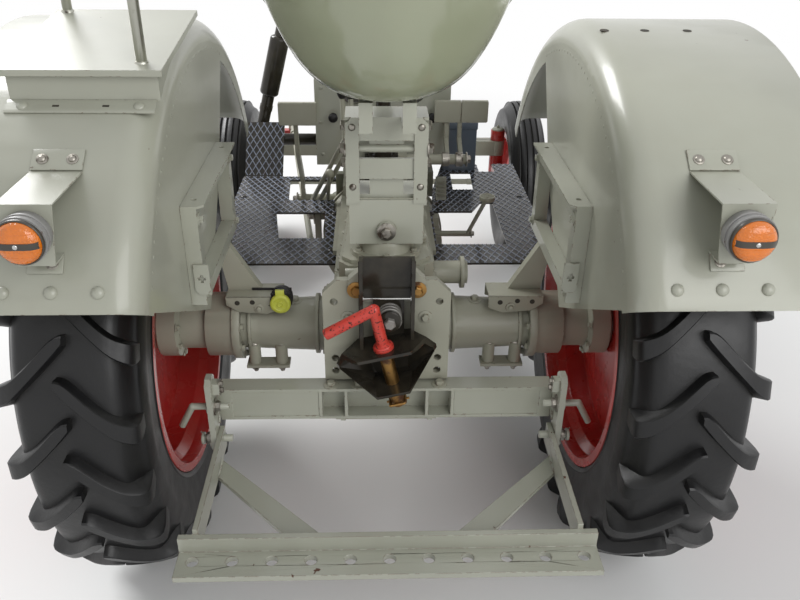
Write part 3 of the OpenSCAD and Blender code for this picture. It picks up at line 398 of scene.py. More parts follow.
@dataclass(frozen=True)
class Rubber(Finish):
    """Tyre rubber, dressed black, with a fine grain and dust in its hollows."""

    colour: Colour = srgb(13, 13, 14)
    dust_colour: Colour = srgb(58, 55, 46)
    roughness: float = 0.34

    def dress(self, g: Graph) -> None:
        """Add the finish's nodes to its graph.

        Args:
            g: Node graph of the finish.
        """
        shade = g.mix(g.noise(12.0, 5), self.colour, tuple(1.7 * c for c in self.colour))
        hollow_mask = g.math("MULTIPLY", g.hollows(0.04), g.noise(26.0, 5))
        g.set(Base_Color=g.mix(g.math("MULTIPLY", hollow_mask, 0.4), shade, self.dust_colour))
        g.set(Roughness=g.between(g.noise(16.0, 6), self.roughness - 0.1, self.roughness + 0.2))
        g.set(IOR=1.45)
        grain = g.bump(g.noise(900.0, 3), 0.00015)
        g.set(Normal=g.bump(g.noise(60.0, 4), 0.0006, grain))


@dataclass(frozen=True)
class Steel(Finish):
    """Bare or plated steel with grime and fine scratches."""

    colour: Colour = srgb(150, 146, 138)
    grime: Colour = srgb(60, 48, 36)
    roughness: float = 0.38
    soiled: float = 0.5

    def dress(self, g: Graph) -> None:
        """Add the finish's nodes to its graph.

        Args:
            g: Node graph of the finish.
        """
        patch = g.ramp(g.noise(45.0, 6), 0.62 - 0.25 * self.soiled, 0.75 - 0.15 * self.soiled)
        g.set(Base_Color=g.mix(patch, self.colour, self.grime))
        g.set(Metallic=g.between(patch, 1.0, 0.25))
        g.set(Roughness=g.between(patch, self.roughness, self.roughness + 0.35))
        scratch = g.noise(60.0, 2, (1, 1, 14))
        g.set(Normal=g.bump(scratch, 0.00012))


@dataclass(frozen=True)
class Lens(Finish):
    """Moulded lamp lens with ribs on its inside."""

    colour: Colour
    transmission: float = 0.5
    roughness: float = 0.12

    def dress(self, g: Graph) -> None:
        """Add the finish's nodes to its graph.

        Args:
            g: Node graph of the finish.
        """
        g.set(Base_Color=g.mix(g.noise(90.0, 2), self.colour, tuple(0.72 * c for c in self.colour)))
        g.set(Roughness=self.roughness, IOR=1.49, Transmission_Weight=self.transmission)
        g.set(Coat_Weight=0.6, Coat_Roughness=0.04)
        cells = g.node("TexVoronoi", Vector=g.place(), Scale=260.0).outputs["Distance"]
        g.set(Normal=g.bump(cells, 0.0008))


PAINT = Enamel("grey_green_paint", "paint", srgb(168, 170, 156), chips=0.35)
DRAWBAR = Enamel("chipped_paint", "paint", srgb(165, 167, 154), chips=0.9, dust=0.5)
SEAT = Enamel(
    "seat_gloss_paint", "seat_paint", srgb(152, 158, 132), roughness=0.14, coat=0.9, chips=0.0, dust=0.05
)
CASTING = Enamel("casting_paint", "paint", srgb(163, 163, 147), roughness=0.42, coat=0.1, chips=0.3, dust=0.5)
ENGINE = Enamel(
    "engine_block_paint", "engine_paint", srgb(126, 128, 112), roughness=0.5, coat=0.0, chips=0.4, dust=1.0
)
BLACK = Enamel(
    "black_gloss_paint", "black_paint", srgb(8, 8, 10), roughness=0.14, coat=0.12, chips=0.15, dust=0.05,
    mirror=0.25
)
PLATE = Enamel(
    "chequer_plate_paint", "black_plate", srgb(10, 12, 18), roughness=0.18, coat=0.05, chips=0.1, dust=0.1,
    mirror=0.25
)
# The pale blue-grey is a painted reflection of the sky on black-painted ridges, not their own colour.
RIDGE_SKY_REFLECTION = Enamel(
    "ridge_paint", "black_plate", srgb(140, 149, 168), roughness=0.2, coat=0.4, chips=0.2, dust=0.05
)
RED = Enamel("red_rim_paint", "red_paint", srgb(184, 10, 16), roughness=0.26, coat=0.25, chips=0.1, dust=0.2)
HANDLE = Enamel("handle_red_paint", "red_paint", srgb(210, 50, 40), srgb(62, 34, 26), 0.4, 0.15, 0.6, 0.2,
                speckle=(170.0, 0.63))
LAMP = Enamel("lamp_body_paint", "lamp_paint", srgb(146, 146, 146), roughness=0.42, coat=0.1, chips=0.05)
BEZEL = Enamel("dark_bezel", "lamp_paint", srgb(34, 32, 30), roughness=0.4, coat=0.2, chips=0.0, dust=0.4)
MARKS = Enamel("dial_marks", "paint", srgb(226, 226, 214), roughness=0.5, coat=0.0, chips=0.0, dust=0.1)
BOX = Enamel("battery_paint", "blue_grey_paint", srgb(98, 112, 128), roughness=0.4, chips=0.15)
CAP = Enamel("socket_cap", "black_plastic", srgb(204, 210, 62), roughness=0.4, chips=0.0, dust=0.3)
# Near-black for discs and strips laid over openings and bores: painted shade for the dark inside of an
# opening.
SHADE = Enamel("dark_opening", "black_paint", srgb(22, 21, 19), roughness=0.8, coat=0.0, chips=0.0, dust=0.6)
SPRING = Enamel(
    "greased_spring", "bare_steel", srgb(128, 126, 122), roughness=0.26, coat=0.5, chips=0.3, dust=0.1
)
RUBBER = Rubber("tyre_rubber", "tyre")
MOULDING = Rubber("black_moulding", "black_plastic", srgb(24, 24, 25), roughness=0.4)
RAIL = Steel("rail_steel", "bare_steel", srgb(176, 176, 166), roughness=0.34, soiled=0.15)
STEEL = Steel("worn_steel", "bare_steel", srgb(150, 146, 138))
BRIGHT = Steel("bright_steel", "bare_steel", srgb(190, 190, 188), roughness=0.2, soiled=0.1)
MIRROR = Steel("reflector", "bare_steel", srgb(225, 225, 222), roughness=0.06, soiled=0.0)
BRASS = Steel("rusty_brass", "bare_steel", srgb(158, 122, 72), srgb(74, 46, 26), roughness=0.4, soiled=0.6)
AMBER = Lens("amber_moulding", "amber_lens", srgb(246, 132, 20), transmission=0.15)
GLASS = Lens("headlamp_glass", "clear_glass", srgb(225, 230, 232), transmission=0.9)


@cache
def material(finish: Finish) -> bpy.types.Material:
    """Material of a finish, made when it is first asked for."""
    g = Graph(finish.name)
    finish.dress(g)
    return g.material


# Mesh building


class Shape:
    """Mesh under construction, in the tractor's frame."""

    def __init__(self) -> None:
        """Start with no faces."""
        self.verts: list[Vector] = []
        self.faces: list[tuple[int, ...]] = []

    def add(self, points: Iterable[Point], faces: Iterable[Sequence[int]]) -> None:
        """Add points, and faces that count from the first of them."""
        base = len(self.verts)
        self.verts.extend(Vector(p) for p in points)
        self.faces.extend(tuple(base + i for i in f) for f in faces)

    def rings(self, rings: Sequence[Sequence[Point]], ends: bool = True, loop: bool = False) -> None:
        """Skin a row of rings that have the same number of points.

        Args:
            rings: Points of each ring.
            ends: Whether the first and last rings are closed with a face.
            loop: Whether the last ring joins the first.
        """
        n = len(rings[0])
        count = len(rings)
        steps = count if loop else count - 1
        faces = [
            (i * n + j, i * n + (j + 1) % n, (i + 1) % count * n + (j + 1) % n, (i + 1) % count * n + j)
            for i in range(steps)
            for j in range(n)
        ]
        if ends and not loop:
            faces += [tuple(range(n))[::-1], tuple(range((count - 1) * n, count * n))]
        self.add([p for ring in rings for p in ring], faces)

    def rod(self, path: Sequence[Point], radius: float, sides: int = 16, bend: float = 0.0) -> None:
        """Round rod along a path, with its inner corners rounded to the bend radius.

        Args:
            path: Points of its middle line.
            radius: Radius of the rod.
            sides: Number of sides.
            bend: Radius of its bends, or 0.
        """
        points = rounded(path, bend) if bend else [Vector(p) for p in path]
        rings = []
        across = None
        for i, p in enumerate(points):
            ahead = (points[min(i + 1, len(points) - 1)] - points[max(i - 1, 0)]).normalized()
            if across is None:
                across = ahead.orthogonal().normalized()
            across = (across - ahead * across.dot(ahead)).normalized()
            other = ahead.cross(across)
            rings.append([
                p + radius * (cos(a) * across + sin(a) * other)
                for a in (tau * k / sides for k in range(sides))
            ])
        self.rings(rings)

    def lathe(self, centre: Point, axis: Point, profile: Sequence[tuple[float, float]], sides: int = 24,
              hollow: bool = False) -> None:
        """Turned form.

        Args:
            centre: Point on the axis where the profile's length is 0.
            axis: Direction of the axis.
            profile: Pairs of length along the axis and radius.
            sides: Number of sides.
            hollow: Whether the profile's end joins its start, for a ring that is open in the middle.
        """
        c, a = Vector(centre), Vector(axis).normalized()
        u = a.orthogonal().normalized()
        w = a.cross(u)
        self.rings([
            [c + a * x + max(r, 1e-5) * (cos(t) * u + sin(t) * w)
             for t in (tau * k / sides for k in range(sides))]
            for x, r in profile
        ], loop=hollow)

    def collar(self, centre: Point, axis: Point, half: float, bore: float, radius: float, sides: int) -> None:
        """Plain ring about an axis, with half its length, its bore and its radius."""
        self.lathe(centre, axis, [(-half, bore), (-half, radius), (half, radius), (half, bore)], sides)

    def grid(self, rows: Sequence[Sequence[Point]]) -> None:
        """Open sheet through rows that have the same number of points.

        Args:
            rows: Rows of points.
        """
        n = len(rows[0])
        self.add([p for row in rows for p in row], [
            (i * n + j, i * n + j + 1, (i + 1) * n + j + 1, (i + 1) * n + j)
            for i in range(len(rows) - 1) for j in range(n - 1)
        ])

    def bolt(self, centre: Point, axis: Point, across: float = 0.017, washer: bool = True) -> None:
        """Hexagon head on a washer, seated at the centre.

        Args:
            centre: Middle of the seat.
            axis: Direction out of the seat.
            across: Size across flats.
            washer: Whether a washer lies below.
        """
        r = across / 2 / cos(pi / 6)
        high = 0.62 * across
        start = 0.0
        if washer:
            start = 0.12 * across
            self.lathe(centre, axis, [
                (-0.001, 0.98 * across), (start * 0.8, 0.98 * across), (start, 0.9 * across)
            ], 20)
        self.lathe(centre, axis, [(start - 0.0005, r), (high * 0.82, r), (high, 0.8 * r)], 6)

    def dome(self, centre: Point, axis: Point, radius: float, high: float) -> None:
        """Round-headed bolt, seated at the centre.

        Args:
            centre: Middle of the seat.
            axis: Direction out of the seat.
            radius: Radius of the head.
            high: Height of the head.
        """
        steps = 5
        profile = [(-0.001, radius)]
        profile += [(high * sin(a), radius * cos(a)) for a in (pi / 2 * k / steps for k in range(steps + 1))]
        self.lathe(centre, axis, profile, 20)

    def box(self, low: Point, high: Point, turn: Matrix | None = None) -> None:
        """Box between two corners, turned about the origin by a matrix.

        Args:
            low: Lowest corner.
            high: Highest corner.
            turn: Turning matrix, or none.
        """
        points = [
            Vector((x, y, z))
            for x in (low[0], high[0]) for y in (low[1], high[1]) for z in (low[2], high[2])
        ]
        if turn is not None:
            points = [turn @ p for p in points]
        self.add(points, [(0, 1, 3, 2), (4, 6, 7, 5), (0, 4, 5, 1), (2, 3, 7, 6), (0, 2, 6, 4), (1, 5, 7, 3)])

    def sheet_band(self, outline: Sequence[Point], shift: Point) -> None:
        """Flat panel with that outline, made solid by shifting a copy."""
        s = Vector(shift)
        near = [Vector(p) for p in outline]
        self.rings([near, [p + s for p in near]])

    def build(self, name: str, finish: Finish, body: Body = Body.CHASSIS, smooth: float = 40.0,
              bevel: float = 0.0, merge: bool = True) -> bpy.types.Object:
        """Make the object, dress it and let it ride.

        Args:
            name: Name of the piece.
            finish: Finish from the palette.
            body: Body that it rides on.
            smooth: Angle in degrees under which faces shade smoothly.
            bevel: Width of a rounded edge, or 0 for none.
            merge: Whether points that coincide are joined.

        Returns:
            The new object.
        """
        mesh = bpy.data.meshes.new(name)
        bm = bmesh.new()
        verts = [bm.verts.new(v) for v in self.verts]
        for f in self.faces:
            ring = [verts[i] for i in f]
            if len(set(ring)) > 2:
                try:
                    bm.faces.new(ring)
                except ValueError:
                    continue
        if merge:
            bmesh.ops.remove_doubles(bm, verts=bm.verts, dist=1e-6)
        bmesh.ops.recalc_face_normals(bm, faces=bm.faces)
        if bevel:
            sharp = [e for e in bm.edges if e.is_manifold and e.calc_face_angle(0) > radians(smooth)]
            bmesh.ops.bevel(
                bm, geom=sharp, offset=bevel, segments=2, affect="EDGES", profile=0.5, clamp_overlap=True
            )
        limit = radians(smooth)
        for e in bm.edges:
            e.smooth = e.is_manifold and e.calc_face_angle(0) <= limit
        for f in bm.faces:
            f.smooth = True
        bm.to_mesh(mesh)
        bm.free()
        made = bpy.data.objects.new(name, mesh)
        bpy.context.scene.collection.objects.link(made)
        mesh.materials.append(material(finish))
        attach(made, body.value)
        return made


def rounded(path: Sequence[Point], radius: float, steps: int = 6) -> list[Vector]:
    """Path with an arc at each inner corner.

    Args:
        path: Points of the path.
        radius: Radius of the arcs.
        steps: Points on each arc.

    Returns:
        The new points.
    """
    points = [Vector(p) for p in path]
    made = [points[0]]
    for before, here, after in zip(points, points[1:], points[2:]):
        a = (before - here).normalized()
        b = (after - here).normalized()
        half = a.angle(b) / 2
        reach = min(radius / tan(half), 0.45 * (before - here).length, 0.45 * (after - here).length)
        start, end = here + a * reach, here + b * reach
        for k in range(steps + 1):
            t = k / steps
            made.append((1 - t) ** 2 * start + 2 * t * (1 - t) * here + t ** 2 * end)
    made.append(points[-1])
    return made


# Sub-assemblies


@dataclass
class CadDressing:
    """Finishes and rounded edges of the nodes that stay as the model has them."""

    edge: float = 0.0012
    finishes: dict[Finish, str] = field(default_factory=lambda: {
        CASTING: "gearbox axle_trumpets front_bracket front_axle pedals levers hitch_plate tie_rod drag_link "
                 "drop_arm",
        PAINT: "cowl grille headlamps seat_frame fender_left fender_right fender_frames passenger_box "
               "lamp_brackets cross_beam beam_hangers bonnet",
        RED: "rear_rim_left rear_rim_right front_rim_left front_rim_right knuckle_left knuckle_right",
        RUBBER: "rear_tyre_left rear_tyre_right front_tyre_left front_tyre_right",
        BLACK: "steering_column tow_hitch exhaust", PLATE: "footplate_left footplate_right", SEAT: "seat_pan",
        ENGINE: "engine_block", GLASS: "headlamp_lenses", RAIL: "grab_rail", LAMP: "lamp_bodies",
        AMBER: "lamp_lenses", BOX: "battery_box", DRAWBAR: "drawbar_frame", HANDLE: "hitch_pin",
        MOULDING: "trailer_socket steering_wheel",
    })

    def build(self) -> None:
        """Give each node its finish and rounded edges."""
        dressed = {name: finish for finish, names in self.finishes.items() for name in names.split()}
        for name, node in frame["nodes"].items():
            node.data.materials.clear()
            node.data.materials.append(material(dressed[name]))
            self.round_edges(node)

    def round_edges(self, node: bpy.types.Object) -> None:
        """Weld the node's faces, and round its sharp edges.

        Args:
            node: Node of the model.
        """
        weld = node.modifiers.new("weld", "WELD")
        weld.merge_threshold = 1e-5
        bevel = node.modifiers.new("bevel", "BEVEL")
        bevel.width = self.edge
        bevel.segments = 2
        bevel.limit_method = "ANGLE"
        bevel.angle_limit = radians(35)
        bevel.harden_normals = True
        bevel.miter_outer = "MITER_ARC"


@dataclass
class Tyre:
    """Round carcass of a tyre, which the front and rear tyres share."""

    side: Side
    radius: float
    half_width: float
    rim_radius: float
    rim_half: float
    centre: Vector
    steps: int = 120

    def bead(self) -> list[tuple[float, float]]:
        """Outline from the bead's toe to the rim protector, as radius and distance out."""
        seat = self.rim_half - 0.0063
        return [
            (self.rim_radius - 0.0157, seat), (self.rim_radius + 0.001, seat + 0.0005),
            (self.rim_radius + 0.0025, seat + 0.0045), (self.rim_radius + 0.009, seat + 0.0075),
            (self.rim_radius + 0.013, seat + 0.0105), (self.rim_radius + 0.017, seat + 0.008),
        ]

    def flank(self, crown: float) -> list[tuple[float, float]]:
        """Outline from the rim protector over the belly to the shoulder.

        Args:
            crown: Radius that the flank leads up to.

        Returns:
            Pairs of radius and distance out.
        """
        w, rim = self.half_width, self.rim_radius
        belly = rim + 0.48 * (crown - rim)
        return [
            (rim + 0.017, self.rim_half + 0.002), (belly - 0.03, w - 0.006), (belly, w - 0.0005),
            (belly + 0.034, w - 0.004), (crown - 0.4 * w, w - 0.014),
        ]

    def ring_mesh(self, half: Sequence[tuple[float, float]], shape: Shape) -> None:
        """Revolve a half outline and its mirror image about the axle.

        Args:
            half: Pairs of radius and distance out.
            shape: Shape to add to.
        """
        outline = [(r, -x) for r, x in half] + [(r, x) for r, x in reversed(half) if x > 1e-6]
        shape.rings([
            [self.point(x, r, tau * k / self.steps) for r, x in outline]
            for k in range(self.steps)
        ], loop=True)

    def point(self, x: float, r: float, angle: float) -> Vector:
        """Point at distance x out from the middle, radius r and an angle about the axle."""
        return self.centre + Vector((self.side.value * x, r * cos(angle), r * sin(angle)))


@dataclass
class RearTyre(Tyre):
    """Rear tyre with two staggered rows of curved lugs."""

    lug_height: float = 0.026
    lug_count: int = 22
    lug_half: float = 0.018
    spans: int = 4
    fillet: float = 0.3
    edge: float = 0.0035

    @property
    def floor(self) -> float:
        """Radius of the tread between the lugs."""
        return self.radius - self.lug_height

    def build(self) -> None:
        """Build the carcass and the lugs in place of the model's plain tyre."""
        shape = Shape()
        self.ring_mesh(self.carcass(), shape)
        pitch = tau / self.lug_count
        start = 1.5 * pi - asin(self.lug_half / self.radius)
        for i in range(self.lug_count):
            self.lug(start + i * pitch, 1, shape)
            self.lug(start + (i + 0.5) * pitch, -1, shape)
        name = "rear_tyre_" + self.side.label
        made = shape.build(name + "_lugs", RUBBER, Body("rear_wheel_" + self.side.label), smooth=38)
        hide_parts(name)

    def carcass(self) -> list[tuple[float, float]]:
        """Half outline of the carcass, from the bead to the crown."""
        w, r = self.half_width, self.floor
        return self.bead() + curve(self.flank(r) + [(r - 0.014, w - 0.034), (r - 0.003, w / 2), (r, 0.0)], 4)

    def sections(self) -> list[tuple[float, ...]]:
        """Rows along a lug, from its tip at the middle to its foot on the flank.

        Returns:
            Distance out and drop of the top, distance out and drop of the root, lag in degrees, and half
            widths at the top and the root.
        """
        w, h, half = self.half_width, self.lug_height, self.lug_half
        return curve([
            (-0.01, 0.0005, -0.01, h + 0.008, -1.6, 0.009, 0.015),
            (0.012, 0.0005, 0.012, h + 0.008, 0.0, half, 0.024),
            (0.058, 0.003, 0.058, h + 0.01, 4.6, half, 0.025),
            (w - 0.033, 0.011, w - 0.037, h + 0.026, 8.0, 0.02, 0.027),
            (w + 0.002, 0.034, w - 0.027, h + 0.046, 9.6, 0.022, 0.03),
            (w - 0.004, h + 0.078, w - 0.031, h + 0.086, 9.8, 0.02, 0.028),
        ], self.spans)

    def lug(self, angle: float, half: int, shape: Shape) -> None:
        """Add one lug at an angle, on the outer half (1) or the inner half (-1).

        Args:
            angle: Angle about the axle.
            half: 1 or -1.
            shape: Shape to add to.
        """
        rows = []
        for top_x, top_drop, root_x, root_drop, lag, top_half, root_half in self.sections():
            top, root = self.radius - top_drop, self.radius - root_drop
            about = angle + radians(lag)
            profile = [
                (0.0, root_half), (self.fillet, top_half + 0.3 * (root_half - top_half)),
                (1 - self.edge / max(top - root, 0.006), top_half), (1.0, top_half - self.edge),
            ]
            ring = [(share, -off) for share, off in profile] + [
                (share, off) for share, off in reversed(profile)
            ]
            rows.append([
                self.point(
                    half * (root_x + share * (top_x - root_x)), root + share * (top - root),
                    about + asin(off / (root + share * (top - root))),
                )
                for share, off in ring
            ])
        shape.rings(rows)


@dataclass
class FrontTyre(Tyre):
    """Front tyre with five ribs and four grooves."""

    grooves: tuple[float, float] = (0.014, 0.039)
    groove_half: float = 0.004
    groove_depth: float = 0.013

    def build(self) -> None:
        """Build the ribbed tyre in place of the model's plain one."""
        shape = Shape()
        self.ring_mesh(self.outline(), shape)
        name = "front_tyre_" + self.side.label
        made = shape.build(name + "_ribs", RUBBER, Body("front_wheel_" + self.side.label), smooth=38)
        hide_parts(name)

    def outline(self) -> list[tuple[float, float]]:
        """Half outline, from the bead over the flank and the grooves to the crown."""
        w, r = self.half_width, self.radius
        flank = curve(self.flank(r) + [(r - 0.015, w - 0.032), (r - 0.007, w - 0.037)], 4)
        tread = []
        for x in reversed(self.grooves):
            crown = r - 2.0 * x * x
            half, low = self.groove_half, crown - self.groove_depth
            tread += [
                (crown - 0.0004, x + half + 0.0016), (crown - 0.002, x + half), (low, x + half - 0.0008),
                (low, x - half + 0.0008), (crown - 0.002, x - half), (crown - 0.0004, x - half - 0.0016),
            ]
        return self.bead() + flank + tread + [(r, 0.0)]


@dataclass
class Rim:
    """Pressed rim with a drop centre and a dished disc, in place of the model's."""

    node: str
    body: Body
    centre: Vector
    radius: float
    half_width: float
    well: float
    hub: float
    wall: float = 0.006
    dish: float = 0.026
    steps: int = 144

    def build(self) -> None:
        """Revolve the rim's section about the axle."""
        shape = Shape()
        shape.rings([
            [self.centre + Vector((x, r * cos(a), r * sin(a))) for r, x in self.section()]
            for a in (tau * k / self.steps for k in range(self.steps))
        ], loop=True)
        made = shape.build(self.node + "_pressed", RED, self.body, smooth=22, bevel=0.0016)
        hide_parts(self.node)

    def section(self) -> list[tuple[float, float]]:
        """Closed outline of flanges, seats, well and disc, as radius and distance along the axle."""
        r, h, t, low = self.radius, self.half_width, self.wall, self.radius - self.well
        flat = self.hub + 0.06
        return [
            (r, -h), (r, t - h), (r - 0.016, t - h), (r - 0.018, 0.034 - h), (low, 0.052 - h),
            (low, h - 0.052), (r - 0.018, h - 0.034), (r - 0.016, h - t), (r, h - t), (r, h), (r - 0.022, h),
            (r - 0.024, h - 0.034), (low - t, h - 0.056), (low - t, t), (flat, t - self.dish),
            (self.hub, t - self.dish), (self.hub, -t - self.dish), (flat, -t - self.dish), (low - t, -t),
            (low - t, 0.056 - h), (r - 0.024, 0.034 - h), (r - 0.022, -h),
        ]


@dataclass
class Hub:
    """Hub of a wheel: turned barrel with a bell flange and its bolts, and the end outside the disc."""

    name: str
    body: Body
    side: Side
    centre: Vector
    start: float
    end: float
    radius: float
    bell: tuple[float, float, float]
    disc: float
    finish: Finish
    bolts: int = 8

    def build(self) -> None:
        """Build the inner barrel and the outer end."""
        s = self.side.value
        axis = (s, 0, 0)
        low, high, reach = self.bell
        barrel = Shape()
        barrel.lathe(self.centre, axis, [
            (self.start, 0.0), (self.start, self.radius), (low - 0.004, self.radius), (low, reach - 0.004),
            (low + 0.003, reach), (high - 0.003, reach), (high, reach - 0.003), (high, self.radius),
            (self.disc, self.radius), (self.disc, 0.0),
        ], 64)
        for y, z in circle(reach - 0.01, self.bolts, 0.5):
            barrel.bolt(self.centre + Vector((s * low, y, z)), (-s, 0, 0), 0.013)
        barrel.build(self.name + "_barrel", self.finish, self.body, smooth=35)
        end = Shape()
        end.lathe(self.centre, axis, [
            (self.disc - 0.01, self.radius), (self.end - 0.003, self.radius), (self.end, self.radius - 0.003),
            (self.end, 0.0),
        ], 64)
        end.build(self.name + "_hub_end", RED, self.body, smooth=35)


@dataclass
class WheelFittings:
    """Nuts, hub cap and valve of a wheel."""

    name: str
    body: Body
    side: Side
    centre: Vector
    disc_out: float
    nut_circle: float
    nuts: int
    nut: float
    hub_out: float
    hub_radius: float
    valve_radius: float

    def build(self) -> None:
        """Build the nuts, the hub cap with its bolts, and the valve."""
        axis = (self.side.value, 0, 0)
        nuts = Shape()
        for y, z in circle(self.nut_circle, self.nuts):
            nuts.bolt(self.at(self.disc_out, y, z), axis, self.nut)
            nuts.lathe(self.at(self.disc_out, y, z), axis, [
                (0, 0.3 * self.nut), (0.95 * self.nut, 0.28 * self.nut)
            ], 12)
        nuts.build(self.name + "_nuts", STEEL, self.body)
        cap = Shape()
        r = self.hub_radius
        cap.lathe(self.at(self.hub_out, 0, 0), axis, [
            (-0.001, r), (0.006, r), (0.009, r - 0.004), (0.012, 0.62 * r), (0.03, 0.56 * r),
            (0.036, 0.45 * r), (0.039, 0.0),
        ], 40)
        for y, z in circle(0.82 * r, 6):
            cap.bolt(self.at(self.hub_out + 0.007, y, z), axis, 0.011, washer=False)
        cap.build(self.name + "_hub_cap", RED, self.body, bevel=0.0006)
        valve = Shape()
        valve.rod([
            self.at(0.02, 0, self.valve_radius), self.at(0.032, 0, self.valve_radius - 0.012),
            self.at(0.052, 0, self.valve_radius - 0.02),
        ], 0.0035, 10)
        valve.lathe(self.at(0.05, 0, self.valve_radius - 0.0195), (self.side.value, 0, -0.3),
                    [(0, 0.0045), (0.012, 0.0045), (0.014, 0.003)], 10)
        valve.build(self.name + "_valve", MOULDING, self.body)

    def at(self, out: float, y: float, z: float) -> Vector:
        """Point at a distance out from the wheel's middle."""
        return self.centre + Vector((self.side.value * out, y, z))


@dataclass
class Seat:
    """Glossy pan with a rolled edge, and the fasteners of its sprung frame."""

    half: float = 0.245
    back: float = -0.205
    low: float = 1.258
    sheet: float = 0.005
    front_reach: float = 0.215
    back_reach: float = 0.19
    rings: int = 22
    steps: int = 96
    edge: float = 0.0055
    frame_back: float = -0.15
    frame_half: float = 0.09

    def build(self) -> None:
        """Build the pan, its bolts and the frame's nuts."""
        self.pan()
        self.pan_bolts()
        self.frame_nuts()

    def point(self, share: float, angle: float, lift: float) -> Vector:
        """Point of the pan at a share of the way out and an angle, where a quarter turn is the front.

        Args:
            share: Share of the way out, from 0 to 1.
            angle: Angle about the pan's middle.
            lift: Height above the sheet.

        Returns:
            Point of the frame, in metres.
        """
        sine, cosine = sin(angle), cos(angle)
        back = (1 - sine) / 2
        rim = 0.04 + 0.165 * abs(cosine) ** 1.4 * (0.45 + 0.55 * back) + 0.245 * back ** 2.2
        reach = self.front_reach if sine > 0 else self.back_reach
        return rear(
            self.half * share * cosine, self.back + reach * share * sine, self.low + rim * share ** 3.4 + lift
        )

    def pan(self) -> None:
        """Press the pan from one sheet, with a bead rolled along its rim."""
        shape = Shape()
        turns = [tau * k / self.steps for k in range(self.steps)]
        shares = [i / self.rings for i in range(1, self.rings + 1)]
        top = [[self.point(t, a, self.sheet) for a in turns] for t in shares]
        under = [[self.point(1.012 * t, a, 0.0) for a in turns] for t in reversed(shares)]
        centre = rear(0, self.back, self.low)
        tip = [centre + Vector((0.0005 * cos(a), 0.0005 * sin(a), self.sheet)) for a in turns]
        foot = [centre + Vector((0.0005 * cos(a), 0.0005 * sin(a), 0)) for a in turns]
        shape.rings([tip, *top, *under, foot])
        bead = []
        for a in turns:
            here = self.point(1.0, a, 0.4 * self.sheet)
            ahead = (self.point(1.0, a + 0.01, 0) - here).normalized()
            out = ahead.cross(Vector(UP)).normalized()
            up = out.cross(ahead)
            bead.append([
                here + self.edge * (cos(t) * out + sin(t) * up)
                for t in (tau * k / 12 for k in range(12))
            ])
        shape.rings(bead, loop=True)
        made = shape.build("seat_pan_rolled", SEAT, smooth=60)
        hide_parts("seat_pan")

    def pan_bolts(self) -> None:
        """Seat four domed bolts in the bottom of the pan."""
        shape = Shape()
        for x in (-0.044, 0.044):
            for y in (-0.03, 0.03):
                shape.dome(rear(x, self.back + y, self.low + self.sheet), UP, 0.011, 0.005)
        shape.build("seat_bolts", BRIGHT)

    def frame_nuts(self) -> None:
        """Put nuts on the frame's cross shafts, a plug behind, and bolts through its foot."""
        shape = Shape()
        for side in Side:
            s = side.value
            for y, z in ((self.frame_back + 0.012, 1.129), (-0.06, 1.157), (-0.06, 1.07)):
                shape.bolt(rear(s * self.frame_half, y, z), (s, 0, 0), 0.022)
            for z in (1.18, 1.045):
                shape.dome(rear(s * 0.075, self.frame_back - 0.004, z), BACK, 0.008, 0.004)
            for y in (self.frame_back + 0.035, -0.068):
                shape.bolt(rear(s * 0.067, y, 0.915), UP, 0.015)
        shape.bolt(rear(0, self.frame_back - 0.012, 0.94), BACK, 0.022)
        shape.build("seat_frame_nuts", STEEL)


